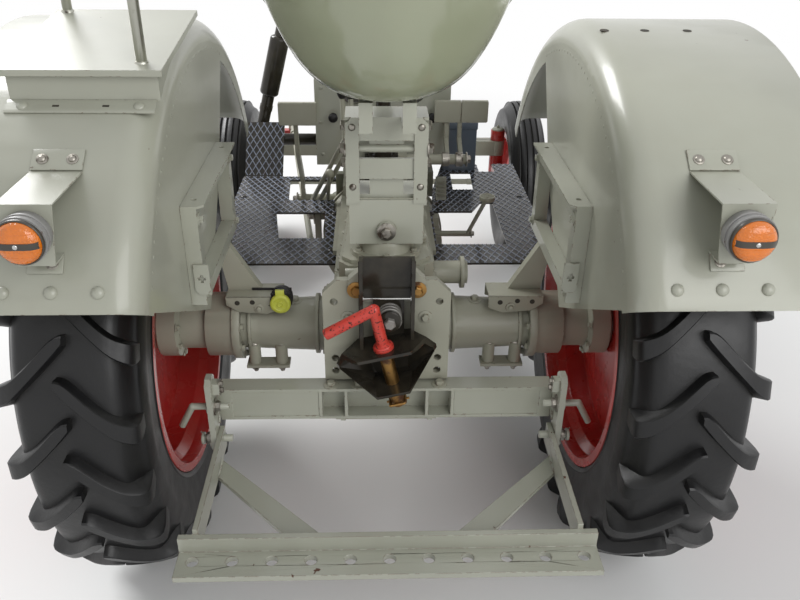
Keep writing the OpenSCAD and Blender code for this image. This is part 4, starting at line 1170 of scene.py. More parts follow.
@dataclass
class Gearbox:
    """Bolts, plug and side covers of the gearbox, its pedestal and the axle trumpets."""

    cover_half: float = 0.118
    cover_back: float = -0.13
    cover_front: float = 0.33
    cover_taper: float = 0.022
    ledge: float = 0.788
    case_half: float = 0.128
    pedestal: float = -0.09
    flange_top: float = 0.876

    def build(self) -> None:
        """Build the fasteners and small castings of the driveline."""
        self.cover_bolts()
        self.pedestal_bolts()
        self.filler()
        self.side_covers()
        self.bell_bolts()
        self.trumpet_bolts()
        self.clamp_nuts()

    def cover_bolts(self) -> None:
        """Put a row of bolts along each ledge of the top cover."""
        shape = Shape()
        count = 7
        for i in range(count):
            y = self.cover_back + (self.cover_front - self.cover_back) * i / (count - 1)
            x = self.cover_half - self.cover_taper * i / (count - 1)
            for side in Side:
                shape.bolt(rear(side.value * x, y, self.ledge), UP, 0.013)
        shape.build("top_cover_bolts", CASTING)

    def pedestal_bolts(self) -> None:
        """Bolt the seat's pedestal to the cover."""
        shape = Shape()
        for x, y in circle(0.075, 6, 0.5):
            shape.bolt(rear(x, self.pedestal + y, self.flange_top), UP, 0.013)
        shape.build("pedestal_bolts", CASTING)

    def filler(self) -> None:
        """Screw a plug with a square head into the filler."""
        shape = Shape()
        base = rear(0.08, -0.037, 0.87)
        shape.lathe(base, UP, [(-0.001, 0.021), (0.003, 0.021), (0.0045, 0.0195), (0.005, 0.012)], 32)
        shape.lathe(base, UP, [(0.004, 0.0135), (0.013, 0.0135), (0.0145, 0.0115)], 6)
        shape.build("filler_plug", CASTING)

    def side_covers(self) -> None:
        """Bolt an oval cover to each side of the case, and a plug below it."""
        shape = Shape()
        for side in Side:
            s = side.value
            outline = [
                rear(s * self.case_half, 0.3 + 0.085 * cos(a), 0.6 + 0.062 * sin(a))
                for a in (tau * k / 48 for k in range(48))
            ]
            inner = [Vector(p) + Vector((s * 0.007, 0, 0)) for p in outline]
            middle_point = rear(s * self.case_half, 0.3, 0.6)
            lip = [middle_point + 0.72 * (p - middle_point) + Vector((s * 0.007, 0, 0)) for p in outline]
            boss = [p + Vector((s * 0.006, 0, 0)) for p in lip]
            shape.rings([outline, inner, lip, boss])
            for y, z in circle(1.0, 8):
                shape.bolt(
                    rear(s * (self.case_half + 0.007), 0.3 + 0.074 * y, 0.6 + 0.052 * z), (s, 0, 0), 0.011
                )
            shape.bolt(rear(s * self.case_half, 0.02, 0.47), (s, 0, 0), 0.024)
        shape.build("gearbox_side_covers", CASTING, bevel=0.0008)

    def bell_bolts(self) -> None:
        """Bolt the bell housing to the engine's back plate, leaving out what the deck covers."""
        shape = Shape()
        for k in range(12):
            a = radians(15 + 30 * k)
            x, z = 0.176 * cos(a), 0.6 + 0.176 * sin(a)
            if z < 0.7:
                shape.bolt(rear(x, 0.584, z), BACK, 0.015)
        shape.build("bell_bolts", CASTING)

    def trumpet_bolts(self) -> None:
        """Put a circle of bolts on the flanges of both trumpets."""
        shape = Shape()
        for side in Side:
            s = side.value
            for x, radius, axis in ((0.152, 0.09, 1), (0.372, 0.079, -1)):
                for y, z in circle(radius, 8, 0.5):
                    shape.bolt(Vector((s * x, AXLE_Y + y, AXLE_Z + z)), (axis * s, 0, 0), 0.015)
            shape.bolt(rear(s * 0.235, 0, AXLE_Z + 0.068), UP, 0.019)
        shape.build("trumpet_bolts", CASTING)

    def clamp_nuts(self) -> None:
        """Put studs and nuts below the clamps' straps."""
        shape = Shape()
        for side in Side:
            for x in (0.273, 0.343):
                foot = rear(side.value * x, -0.05, AXLE_Z - 0.096)
                shape.bolt(foot, DOWN, 0.02)
                shape.lathe(foot, DOWN, [(0, 0.006), (0.019, 0.006), (0.02, 0.005)], 12)
                shape.dome(rear(side.value * x, -0.05, AXLE_Z - 0.031), (0, -0.6, 1), 0.015, 0.009)
        shape.build("clamp_nuts", STEEL)


@dataclass
class Stays:
    """Open angle brackets between the trumpets and the fender frames, and the frames' bolts."""

    inner: float = 0.262
    outer: float = 0.402
    back: float = -0.062
    depth: float = 0.072
    top: float = 0.716
    low: float = 0.668
    sheet: float = 0.004

    def build(self) -> None:
        """Build both brackets and the frames' bolts."""
        shape = Shape()
        hole_shades = Shape()
        for side in Side:
            s = side.value
            for y in (self.back, self.back + self.depth):
                shape.sheet_band([
                    rear(s * self.inner, y, self.top), rear(s * self.outer, y, self.top),
                    rear(s * self.outer, y, self.top - 0.022), rear(s * 0.372, y, self.low + 0.006),
                    rear(s * 0.3, y, self.low), rear(s * self.inner, y, self.low + 0.014),
                ], (0, self.sheet, 0))
            shape.sheet_band([
                rear(s * self.inner, self.back, self.top - self.sheet),
                rear(s * self.outer, self.back, self.top - self.sheet),
                rear(s * self.outer, self.back + self.depth, self.top - self.sheet),
                rear(s * self.inner, self.back + self.depth, self.top - self.sheet),
            ], (0, 0, self.sheet))
            # Dark discs on the stays where three openings would be: painted shade, with no opening cut.
            for x, z in ((0.292, 0.698), (0.336, 0.702), (0.374, 0.7)):
                hole_shades.lathe(rear(s * x, self.back, z), BACK, [(-0.0005, 0.0065), (0.0004, 0.0065)], 20)
            shape.bolt(rear(s * 0.32, self.back, 0.684), BACK, 0.013)
        shape.build("fender_stays", CASTING, bevel=0.0008)
        hole_shades.build("stay_holes", SHADE)
        self.frame_bolts()

    def frame_bolts(self) -> None:
        """Bolt each frame to its fender at the corners."""
        shape = Shape()
        for side in Side:
            for y in (-0.297, 0.089):
                for z in (0.862, 1.03):
                    shape.bolt(rear(side.value * 0.387, y, z), (-side.value, 0, 0), 0.015)
        shape.build("frame_bolts", PAINT)


@dataclass
class Footplates:
    """Crossed ridges of the chequer plates, and the plates' bolts."""

    cell: tuple[float, float] = (0.023, 0.041)
    ridge: float = 0.0019
    high: float = 0.0016
    margin: float = 0.0015
    top: float = 0.722
    inner: float = 0.132
    outer: float = 0.476
    back: float = 0.116
    toe_start: float = 0.79
    toe_rise: tuple[float, float] = (0.156, 0.146)

    def build(self) -> None:
        """Build the ridges of both plates and of the toe board."""
        left = [
            [(-self.inner, self.back), (-self.outer, self.back), (-self.outer, 0.79), (-0.154, 0.79),
             (-0.154, 0.755), (-0.312, 0.755), (-0.302, 0.574), (-0.154, 0.574), (-0.154, 0.486),
             (-self.inner, 0.48)],
            [(-0.17, 0.281), (-0.304, 0.281), (-0.33, 0.47), (-0.18, 0.47)],
        ]
        right = [
            [(self.inner, self.back), (self.outer, self.back), (self.outer, 0.92), (0.4, 0.92),
             (0.4, 0.84), (0.344, 0.84), (0.344, 0.915), (0.216, 0.915), (0.166, 0.66), (0.154, 0.486),
             (self.inner, 0.48)],
            [(0.152, 0.237), (0.353, 0.237), (0.353, 0.552), (0.314, 0.552), (0.279, 0.478), (0.152, 0.478)],
            [(0.236, 0.667), (0.304, 0.667), (0.311, 0.83), (0.24, 0.83)],
        ]
        run, rise = self.toe_rise
        length = hypot(run, rise)
        toe = [[(0.004 - self.outer, 0.004), (-0.342, 0.004), (-0.342, length - 0.002),
                (0.004 - self.outer, length - 0.002)]]
        level = (rear(0, 0, self.top), Vector(AHEAD))
        slope = (rear(0, self.toe_start, self.top), Vector((0, run, rise)).normalized())
        self.tread("footplate_ridges_left", left, *level)
        self.tread("footplate_ridges_right", right, *level)
        self.tread("toe_board_ridges", toe, *slope)
        self.bolts()

    def tread(self, name: str, loops: Sequence[Sequence[Point]], origin: Vector, ahead: Vector) -> None:
        """Lay both families of ridges within the plate's outline and outside its openings.

        Args:
            name: Name of the piece.
            loops: Outline and openings on the plate.
            origin: Corner of the plate.
            ahead: Direction forward along the plate.
        """
        shape = Shape()
        wide, long = self.cell
        side = Vector((1, 0, 0))
        normal = side.cross(ahead)
        for lean in (-1, 1):
            step = (lean * wide / 2, long / 2)
            size = hypot(*step)
            way = (step[0] / size, step[1] / size)
            for k in range(-70, 71):
                for a, b in self.spans(loops, (k * wide, 0.0), way):
                    ends = [origin + (k * wide + way[0] * t) * side + way[1] * t * ahead for t in (a, b)]
                    across = (ends[1] - ends[0]).normalized().cross(normal)
                    shape.rings([[
                        p - self.ridge * across - 0.0003 * normal,
                        p - 0.45 * self.ridge * across + self.high * normal,
                        p + 0.45 * self.ridge * across + self.high * normal,
                        p + self.ridge * across - 0.0003 * normal,
                    ] for p in ends])
        # The ridges take the pale blue-grey painted sky reflection.
        shape.build(name, RIDGE_SKY_REFLECTION, smooth=20, merge=False)

    def spans(self, loops: Sequence[Sequence[Point]], start: Point, way: Point) -> list[tuple[float, float]]:
        """Stretches of a line that lie on the plate, as distances along the line.

        Args:
            loops: Outline and openings.
            start: Point on the line.
            way: Direction of the line.

        Returns:
            Pairs of start and end.
        """
        hits = []
        for loop in loops:
            for (x0, y0), (x1, y1) in zip(loop, [*loop[1:], loop[0]]):
                turn = way[0] * (y1 - y0) - way[1] * (x1 - x0)
                if abs(turn) < 1e-12:
                    continue
                share = ((start[0] - x0) * way[1] - (start[1] - y0) * way[0]) / -turn
                if 0 <= share < 1:
                    x, y = x0 + share * (x1 - x0), y0 + share * (y1 - y0)
                    hits.append((x - start[0]) * way[0] + (y - start[1]) * way[1])
        hits.sort()
        pairs = [(a + self.margin, b - self.margin) for a, b in zip(hits[::2], hits[1::2])]
        return [(a, b) for a, b in pairs if b - a > 2 * self.margin]

    def bolts(self) -> None:
        """Bolt the plates to their brackets."""
        shape = Shape()
        for side in Side:
            for x, y in ((0.15, 0.196), (0.15, 0.46), (0.45, 0.14), (0.45, 0.6)):
                shape.dome(rear(side.value * x, y, self.top), UP, 0.01, 0.005)
        shape.build("footplate_bolts", PLATE)


@dataclass
class Fenders:
    """Domed bolts, rolled edges and the passenger box's fittings."""

    radius: float = 0.765
    outer: float = 0.8
    inner: float = 0.42
    bolt_height: float = 1.04
    bolt_places: tuple[float, ...] = (0.49, 0.568, 0.648)
    bead: float = 0.0045
    back_angle: float = 32.0
    front_angle: float = 28.0

    def build(self) -> None:
        """Build the bolts, the beads and the fittings of the passenger box and its rail."""
        self.bolts()
        self.beads()
        self.spot_welds()
        self.top_hole_shades()
        self.box_strip()
        self.rail_feet()

    def on_shell(self, x: float, angle: float, off: float = 0.0) -> Vector:
        """Point on a fender at an angle above the horizontal behind the axle."""
        r = self.radius + off
        return Vector((x, AXLE_Y - r * cos(angle), AXLE_Z + r * sin(angle)))

    def band(self, shape: Shape, x: tuple[float, float], angles: tuple[float, float], sheet: float) -> None:
        """Add a strip that lies on the shell.

        Args:
            shape: Shape to add to.
            x: Its two sides.
            angles: Angles of its two ends.
            sheet: Thickness of the strip.
        """
        rings = []
        for k in range(5):
            a = angles[0] + (angles[1] - angles[0]) * k / 4
            rings.append([
                self.on_shell(x[0], a, 0.0004), self.on_shell(x[1], a, 0.0004),
                self.on_shell(x[1], a, sheet), self.on_shell(x[0], a, sheet),
            ])
        shape.rings(rings)

    def bolts(self) -> None:
        """Put three domed bolts along the rear edge of each fender."""
        shape = Shape()
        angle = asin((self.bolt_height - AXLE_Z) / self.radius)
        axis = self.on_shell(0, angle, 1.0) - self.on_shell(0, angle)
        for side in Side:
            for x in self.bolt_places:
                shape.dome(self.on_shell(side.value * x, angle), axis, 0.0115, 0.008)
        shape.build("fender_bolts", PAINT)

    def beads(self) -> None:
        """Roll the outer edge of each shell round a wire."""
        for side in Side:
            shape = Shape()
            start, end = radians(self.back_angle), pi - radians(self.front_angle)
            x = side.value * (self.outer - self.bead)
            path = [self.on_shell(x, start + (end - start) * k / 72, -self.bead) for k in range(73)]
            shape.rod(path, self.bead, 10)
            shape.build("fender_bead_" + side.label, PAINT, smooth=60)

    def spot_welds(self) -> None:
        """Mark the spot welds that join each inner wall to its shell."""
        shape = Shape()
        radius = self.radius - 0.071
        for side in Side:
            for k in range(34):
                a = radians(36 + 77 * k / 33)
                place = Vector((side.value * self.inner, AXLE_Y - radius * cos(a), AXLE_Z + radius * sin(a)))
                shape.dome(place, (-side.value, 0, 0), 0.0036, 0.0007)
        shape.build("fender_spot_welds", PAINT, smooth=60)

    def top_hole_shades(self) -> None:
        """Lay dark discs of painted shade on the right fender, where three openings would take a second box.
        """
        shape = Shape()
        angle = radians(85)
        axis = self.on_shell(0, angle, 1.0) - self.on_shell(0, angle)
        # Each disc is painted shade for an opening that isn't cut.
        for x in (0.465, 0.552, 0.644):
            shape.lathe(
                self.on_shell(x, angle), axis, [(-0.001, 0.0095), (0.0004, 0.0095), (0.0003, 0.008)], 24
            )
        shape.build("fender_top_holes", SHADE)

    def box_strip(self) -> None:
        """Lay the box's rear flange on the fender, with two bolts; its two slot openings are dark strips of
        painted shade.
        """
        shape = Shape()
        top = acos(0.346 / self.radius)
        low = top - radians(2.5)
        left, right = -0.694, -0.424
        self.band(shape, (left, right), (low, top), 0.003)
        shape.build("box_flange", PAINT, bevel=0.0006)
        centre = (low + top) / 2
        axis = self.on_shell(0, centre, 1.0) - self.on_shell(0, centre)
        bolts = Shape()
        slot_shades = Shape()
        for x in (left + 0.03, right - 0.03):
            bolts.dome(self.on_shell(x, centre, 0.003), axis, 0.01, 0.005)
        # Dark strips of painted shade stand in for the flange's two slot openings.
        for x in (left + 0.09, right - 0.09):
            self.band(slot_shades, (x - 0.006, x + 0.006), (centre - 0.003, centre + 0.003), 0.0034)
        bolts.build("box_bolts", PAINT)
        slot_shades.build("box_slots", SHADE)

    def rail_feet(self) -> None:
        """Weld a collar round each foot of the grab rail."""
        shape = Shape()
        tilt = Vector((0, -0.137, 1))
        for x, y, z in ((-0.45, -0.32, 1.3475), (-0.675, -0.022, 1.3885)):
            shape.lathe(rear(x, y, z), tilt, [(-0.001, 0.0135), (0.0035, 0.0125), (0.006, 0.0105)], 28)
        shape.build("rail_collars", RAIL)


@dataclass
class TailLamps:
    """Amber lenses in two halves, their bands and screws, and the brackets' flanges."""

    place: tuple[float, float, float] = (0.578, -0.64, 1.152)
    radius: float = 0.036
    lens_back: float = -0.6703
    lens_depth: float = 0.0175
    band_half: float = 0.0055
    flange: tuple[float, float] = (1.2, 1.226)
    foot: tuple[float, float] = (1.066, 1.092)

    def build(self) -> None:
        """Build each lamp's lens, band and screws."""
        fenders = Fenders()
        for side in Side:
            self.lens(side)
            self.bracket(side, fenders)

    def bulge(self, r: float) -> float:
        """How far the lens stands out at a radius."""
        share = min(1.0, r / self.radius)
        return self.lens_depth * (1 - share ** 4) ** 0.5

    def lens(self, side: Side) -> None:
        """Build a lens, the dark band across it, its screw and its bezel.

        Args:
            side: Side of the tractor.
        """
        x = side.value * self.place[0]
        axis = BACK
        seat = rear(x, self.lens_back, self.place[2])
        glass = Shape()
        profile = [(-0.0002, self.radius)] + [
            (self.bulge(r), r) for r in (self.radius * sin(pi / 2 * (1 - k / 12)) for k in range(1, 13))
        ]
        glass.lathe(seat, axis, profile, 48)
        for k in range(-3, 4):
            z = 0.0095 * k
            reach = sqrt(max(0.0, (0.9 * self.radius) ** 2 - z * z))
            if abs(z) > self.band_half:
                glass.rod([
                    seat + Vector((u, -self.bulge(hypot(u, z)) + 0.0002, z))
                    for u in (reach * (j / 8 - 1) for j in range(17))
                ], 0.0007, 6)
        made = glass.build("tail_lens_" + side.label, AMBER, smooth=50)
        if side is Side.RIGHT:
            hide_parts("lamp_lenses")
        band = Shape()
        rings = []
        for j in range(25):
            u = self.radius * 0.985 * (j / 12 - 1)
            out = self.bulge(hypot(u, self.band_half)) + 0.0009
            rings.append([
                seat + Vector((u, 0.0, -self.band_half)), seat + Vector((u, -out, -self.band_half)),
                seat + Vector((u, -out - 0.0004, 0)), seat + Vector((u, -out, self.band_half)),
                seat + Vector((u, 0.0, self.band_half)),
            ])
        band.rings(rings)
        band.lathe(rear(x, self.lens_back + 0.002, self.place[2]), axis, [
            (-0.001, 0.0385), (0.004, 0.0387), (0.0055, 0.0378), (0.006, 0.0361), (0.003, 0.0358),
            (-0.001, 0.0359),
        ], 48, hollow=True)
        band.build("tail_band_" + side.label, BEZEL, smooth=50)
        screw = Shape()
        screw.dome(seat + Vector((0, -self.lens_depth - 0.0008, 0)), axis, 0.0042, 0.0018)
        screw.box(*self.slot(seat))
        screw.build("tail_screw_" + side.label, BRIGHT)

    def slot(self, seat: Vector) -> tuple[Vector, Vector]:
        """Corners of the bright slot across the head of the lens's screw."""
        face = seat + Vector((0, -self.lens_depth - 0.0025, 0))
        return face + Vector((-0.003, -0.0002, -0.0005)), face + Vector((0.003, 0.0006, 0.0005))

    def bracket(self, side: Side, fenders: Fenders) -> None:
        """Add the flanges that hold a bracket to the fender, and their bolts.

        Args:
            side: Side of the tractor.
            fenders: Sizes of the shell below.
        """
        x = side.value * self.place[0]
        angles = [
            tuple(asin((z - AXLE_Z) / fenders.radius) for z in pair) for pair in (self.flange, self.foot)
        ]
        shape = Shape()
        fenders.band(shape, (x - 0.045, x + 0.045), angles[0], 0.0035)
        fenders.band(shape, (x - 0.03, x + 0.03), angles[1], 0.0035)
        shape.build("lamp_flanges_" + side.label, PAINT, bevel=0.0006)
        bolts = Shape()
        for (low, high), places in zip(angles, ((-0.026, 0.026), (-side.value * 0.012,))):
            centre = (low + high) / 2
            axis = fenders.on_shell(0, centre, 1.0) - fenders.on_shell(0, centre)
            for off in places:
                bolts.lathe(fenders.on_shell(x + off, centre, 0.0033), axis,
                            [(0, 0.0105), (0.0015, 0.0105), (0.002, 0.0095)], 20)
                bolts.dome(fenders.on_shell(x + off, centre, 0.005), axis, 0.0072, 0.0045)
        bolts.build("lamp_bolts_" + side.label, STEEL)


@dataclass
class Headlamps:
    """Bezels, reflectors and fluted glasses of the headlamps."""

    radius: float = 0.0615
    flutes: int = 15
    bulge: float = 0.012

    def build(self) -> None:
        """Build both headlamps' fronts."""
        low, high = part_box("headlamp_lenses")
        self.front = high[1]
        self.height = (low[2] + high[2]) / 2
        self.out = high[0] - self.radius
        for side in Side:
            self.lamp(side)

    def lamp(self, side: Side) -> None:
        """Build one lamp's bezel, reflector and glass.

        Args:
            side: Side of the tractor.
        """
        x = side.value * self.out
        front = Vector((x, self.front, self.height))
        ring = Shape()
        ring.lathe(front, AHEAD, [
            (-0.004, 0.069), (0.0, 0.0705), (0.006, 0.0705), (0.01, 0.069), (0.0115, 0.066), (0.0105, 0.063),
            (0.006, 0.0622), (-0.004, 0.0622),
        ], 64, hollow=True)
        ring.build("headlamp_bezel_" + side.label, BRIGHT, smooth=60)
        bowl = Shape()
        curve_rows = [(0.047 * (1 - (k / 12) ** 2), 0.0605 * k / 12) for k in range(1, 13)]
        shell = curve_rows + [(depth + 0.0008, r + 0.0006) for depth, r in reversed(curve_rows)]
        bowl.lathe(front - Vector((0, 0.004, 0)), BACK, shell, 48, hollow=True)
        bowl.lathe(front - Vector((0, 0.049, 0)), AHEAD, [
            (0, 0.007), (0.014, 0.007), (0.022, 0.009), (0.03, 0.005)
        ], 20)
        bowl.build("headlamp_reflector_" + side.label, MIRROR, smooth=60)
        glass = Shape()
        glass.grid([[self.glass_point(front, u / 30 - 1, v / 16 - 1) for u in range(61)] for v in range(33)])
        made = glass.build("headlamp_glass_" + side.label, GLASS, smooth=60)
        solid = made.modifiers.new("thickness", "SOLIDIFY")
        solid.thickness = 0.0025
        if side is Side.RIGHT:
            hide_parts("headlamp_lenses")

    def glass_point(self, front: Vector, u: float, v: float) -> Vector:
        """Point of the domed and fluted glass, with u and v from -1 to 1.

        Args:
            front: Middle of the glass.
            u: Share of the width.
            v: Share of the height.

        Returns:
            Point of the frame, in metres.
        """
        x = u * sqrt(1 - v * v / 2) * self.radius
        z = v * sqrt(1 - u * u / 2) * self.radius
        share = (x * x + z * z) / self.radius ** 2
        flute = 0.0007 * cos(self.flutes * pi * x / self.radius) * (1 - share)
        return front + Vector((x, self.bulge * (1 - share) + flute + 0.002, z))


@dataclass
class Steering:
    """Grips and hub cap of the steering wheel, and rings on the column."""

    tilt: float = 67.0
    foot: tuple[float, float, float] = (0.0, 0.52, 0.88)
    length: float = 0.56
    wheel: float = 0.187
    rim: float = 0.013

    def build(self) -> None:
        """Build the wheel's details and the column's."""
        lean = radians(self.tilt)
        self.axis = Vector((0, -cos(lean), sin(lean)))
        self.centre = rear(*self.foot) + self.length * self.axis
        self.across = Vector((1, 0, 0))
        self.up = self.axis.cross(self.across)
        self.grips()
        self.hub()
        self.column()

    def grips(self) -> None:
        """Mould finger grips under the rim, between the spokes."""
        shape = Shape()
        count = 54
        for k in range(count):
            a = tau * k / count
            out = cos(a) * self.across + sin(a) * self.up
            along = self.axis.cross(out)
            centre = self.centre + self.wheel * out - 0.0095 * self.axis
            shape.lathe(centre - 0.006 * along, along, [
                (0.0, 0.003), (0.002, 0.0052), (0.006, 0.006), (0.01, 0.0052), (0.012, 0.003),
            ], 12)
        shape.build("wheel_grips", MOULDING, Body.STEERING_WHEEL, smooth=60)

    def hub(self) -> None:
        """Cap the hub, and put a ferrule at the root of each spoke."""
        shape = Shape()
        shape.lathe(self.centre + 0.014 * self.axis, self.axis, [
            (-0.001, 0.0275), (0.003, 0.0275), (0.006, 0.025), (0.0075, 0.019), (0.0105, 0.017), (0.012, 0.0),
        ], 40)
        for turn in (90, 210, 330):
            a = radians(turn)
            out = cos(a) * self.across + sin(a) * self.up
            shape.lathe(self.centre + 0.028 * out, out, [(0, 0.0115), (0.014, 0.0105), (0.02, 0.0078)], 20)
        shape.build("wheel_hub_cap", MOULDING, Body.STEERING_WHEEL, smooth=50)

    def column(self) -> None:
        """Put a flange, a clamp and a bearing collar on the column."""
        shape = Shape()
        foot = rear(*self.foot)
        shape.lathe(foot + 0.012 * self.axis, self.axis, [
            (0, 0.046), (0.01, 0.046), (0.013, 0.034), (0.06, 0.026), (0.064, 0.0215),
        ], 36)
        shape.lathe(
            foot + 0.3 * self.axis, self.axis, [(0, 0.0216), (0, 0.027), (0.03, 0.027), (0.03, 0.0216)], 32
        )
        shape.lathe(foot + 0.47 * self.axis, self.axis, [
            (0, 0.0216), (0.004, 0.026), (0.04, 0.028), (0.046, 0.0216)
        ], 32)
        shape.bolt(foot + 0.315 * self.axis + Vector((0.026, 0, 0)), (1, 0, 0), 0.013)
        for x, y in circle(0.038, 4, 0.5):
            shape.bolt(
                foot + 0.022 * self.axis + x * self.across + y * self.up, self.axis, 0.01, washer=False
            )
        shape.build("column_rings", BLACK, smooth=45)


@dataclass
class Dash:
    """Plain instruments, knobs and warning lamps on the cowl's rear face."""

    face: float = 0.56
    gauges: tuple[float, float] = (-0.085, 0.085)
    gauge_height: float = 1.085
    radius: float = 0.043

    def build(self) -> None:
        """Build the gauges, and the row of switches below them."""
        for number, x in enumerate(self.gauges):
            self.gauge(x, number)
        self.switches()
        self.screws()

    def gauge(self, x: float, number: int) -> None:
        """Build one gauge: bezel, dark dial with plain marks, and needle.

        Args:
            x: Place across the dash.
            number: Number of the gauge, from 0.
        """
        seat = rear(x, self.face, self.gauge_height)
        bezel = Shape()
        bezel.lathe(seat, BACK, [
            (-0.001, self.radius + 0.004), (0.005, self.radius + 0.004), (0.009, self.radius + 0.001),
            (0.01, self.radius - 0.003), (0.006, self.radius - 0.005), (-0.001, self.radius - 0.005),
        ], 48, hollow=True)
        bezel.build(f"gauge_bezel_{number}", BRIGHT, smooth=60)
        dial = Shape()
        dial.lathe(
            seat, BACK, [(-0.0005, self.radius - 0.004), (0.003, self.radius - 0.004), (0.0032, 0.0)], 40
        )
        dial.build(f"gauge_dial_{number}", BEZEL)
        marks = Shape()
        for k in range(13):
            a = radians(-30 + 20 * k)
            long = 0.007 if k % 3 == 0 else 0.004
            marks.rod([
                seat + Vector((r * cos(a), -0.0035, r * sin(a)))
                for r in (self.radius - 0.007 - long, self.radius - 0.007)
            ], 0.0006, 6)
        lean = radians(118 - 40 * number)
        marks.rod([
            seat + Vector((r * cos(lean), -0.0046, r * sin(lean))) for r in (-0.008, self.radius - 0.012)
        ], 0.0008, 6)
        marks.lathe(seat + Vector((0, -0.003, 0)), BACK, [(0, 0.004), (0.002, 0.004), (0.003, 0.0025)], 16)
        marks.build(f"gauge_marks_{number}", MARKS)

    def switches(self) -> None:
        """Build the ignition lock, two pull knobs and two warning lamps."""
        bright = Shape()
        black = Shape()
        lock = rear(0.0, self.face, 1.0)
        bright.lathe(
            lock, BACK, [(-0.001, 0.017), (0.004, 0.017), (0.007, 0.014), (0.01, 0.011), (0.0105, 0.0)], 32
        )
        bright.box(lock + Vector((-0.0012, -0.034, -0.01)), lock + Vector((0.0012, -0.009, 0.01)))
        for x in (-0.15, 0.15):
            place = rear(x, self.face, 1.0)
            bright.lathe(place, BACK, [(-0.001, 0.011), (0.003, 0.011), (0.004, 0.004), (0.016, 0.004)], 24)
            black.lathe(place + Vector((0, -0.014, 0)), BACK, [
                (0, 0.005), (0.002, 0.012), (0.008, 0.0145), (0.014, 0.012), (0.016, 0.0),
            ], 28)
        bright.build("dash_switches", BRIGHT, smooth=45)
        black.build("dash_knobs", MOULDING, smooth=60)
        for x, finish, label in ((-0.03, AMBER, "amber"), (0.03, RED, "red")):
            lamp = Shape()
            lamp.lathe(
                rear(x, self.face, 1.135), BACK, [(-0.001, 0.008), (0.003, 0.008), (0.004, 0.0065)], 20
            )
            lamp.dome(rear(x, self.face - 0.003, 1.135), BACK, 0.006, 0.005)
            lamp.build("dash_lamp_" + label, finish)

    def screws(self) -> None:
        """Put domed screws round the dash panel."""
        shape = Shape()
        for side in Side:
            for x, z in ((0.185, 0.88), (0.188, 0.98), (0.185, 1.085), (0.11, 1.19)):
                shape.dome(rear(side.value * x, self.face, z), BACK, 0.006, 0.003)
        shape.build("dash_screws", PAINT)


@dataclass
class Bonnet:
    """Ridge strip, latches, handles and rivets of the bonnet, and the grille's screen."""

    half: float = 0.205
    top: float = 1.215
    low: float = 0.93

    def build(self) -> None:
        """Build the bonnet's trim and the screen behind the grille's bars."""
        low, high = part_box("bonnet")
        self.back, self.front = low[1], high[1]
        self.ridge()
        self.latches()
        self.rivets()
        self.screen()

    def ridge(self) -> None:
        """Run a pressed strip along the bonnet's middle."""
        shape = Shape()
        rows = []
        start, end = self.back + 0.06, self.front - 0.03
        for k in range(21):
            y = start + (end - start) * k / 20
            share = min(1.0, 4 * min(k, 20 - k) / 20 + 0.15)
            rows.append([
                Vector((0.01 * share * cos(a), y, self.top - 0.001 + 0.005 * share * sin(a)))
                for a in (pi * j / 8 for j in range(9))
            ])
        shape.rings(rows)
        shape.build("bonnet_ridge", PAINT, Body.BONNET, smooth=60)

    def latches(self) -> None:
        """Put two spring latches and a handle on each side."""
        shape = Shape()
        for side in Side:
            s = side.value
            for y in (self.back + 0.14, self.front - 0.16):
                base = Vector((s * self.half, y, self.low + 0.034))
                shape.box(*corners(
                    base + Vector((s * -0.001, -0.014, -0.02)), base + Vector((s * 0.003, 0.014, 0.02))
                ))
                shape.rod([
                    base + Vector((s * 0.004, -0.009, -0.012)), base + Vector((s * 0.012, -0.009, 0.004)),
                    base + Vector((s * 0.012, 0.009, 0.004)), base + Vector((s * 0.004, 0.009, -0.012)),
                ], 0.0028, 10, bend=0.006)
                shape.dome(base + Vector((s * 0.003, 0, 0.013)), (s, 0, 0), 0.005, 0.003)
            middle_y = (self.back + self.front) / 2 + 0.05
            shape.rod([
                Vector((s * self.half, middle_y - 0.05, self.low + 0.045)),
                Vector((s * (self.half + 0.024), middle_y - 0.05, self.low + 0.045)),
                Vector((s * (self.half + 0.024), middle_y + 0.05, self.low + 0.045)),
                Vector((s * self.half, middle_y + 0.05, self.low + 0.045)),
            ], 0.005, 12, bend=0.014)
        shape.build("bonnet_latches", BRIGHT, Body.BONNET, smooth=50)

    def rivets(self) -> None:
        """Rivet the bonnet's lower edge."""
        shape = Shape()
        count = 11
        for k in range(count):
            y = self.back + 0.03 + (self.front - self.back - 0.14) * k / (count - 1)
            for side in Side:
                shape.dome(
                    Vector((side.value * self.half, y, self.low + 0.012)), (side.value, 0, 0), 0.005, 0.0025
                )
        shape.build("bonnet_rivets", PAINT, Body.BONNET)

    def screen(self) -> None:
        """Weave a dark wire screen behind the grille's bars, and fin the radiator."""
        low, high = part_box("grille")
        back, foot, head, half = high[1] - 0.036, low[2] + 0.036, high[2] - 0.04, 0.168
        wires = Shape()
        for k in range(29):
            x = -half + 2 * half * k / 28
            drop = 0.075 * max(0.0, (abs(x) - 0.1) / 0.07) ** 2
            wires.rod([(x, back, foot), (x, back, head - drop)], 0.0009, 5)
        for k in range(36):
            z = foot + (head - 0.03 - foot) * k / 35
            wires.rod([(-half, back - 0.0014, z), (half, back - 0.0014, z)], 0.0009, 5)
        wires.build("grille_screen", BEZEL, smooth=60, merge=False)
        fins = Shape()
        top = high[2] - 0.185
        face = rear(0, 1.52, 0)[1]
        for k in range(58):
            x = -0.144 + 0.288 * k / 57
            fins.box((x - 0.0006, face - 0.001, 0.725), (x + 0.0006, face + 0.006, top))
        for k in range(7):
            z = 0.745 + (top - 0.765) * k / 6
            fins.box((-0.146, face + 0.001, z - 0.002), (0.146, face + 0.0045, z + 0.002))
        fins.build("radiator_fins", ENGINE, merge=False)


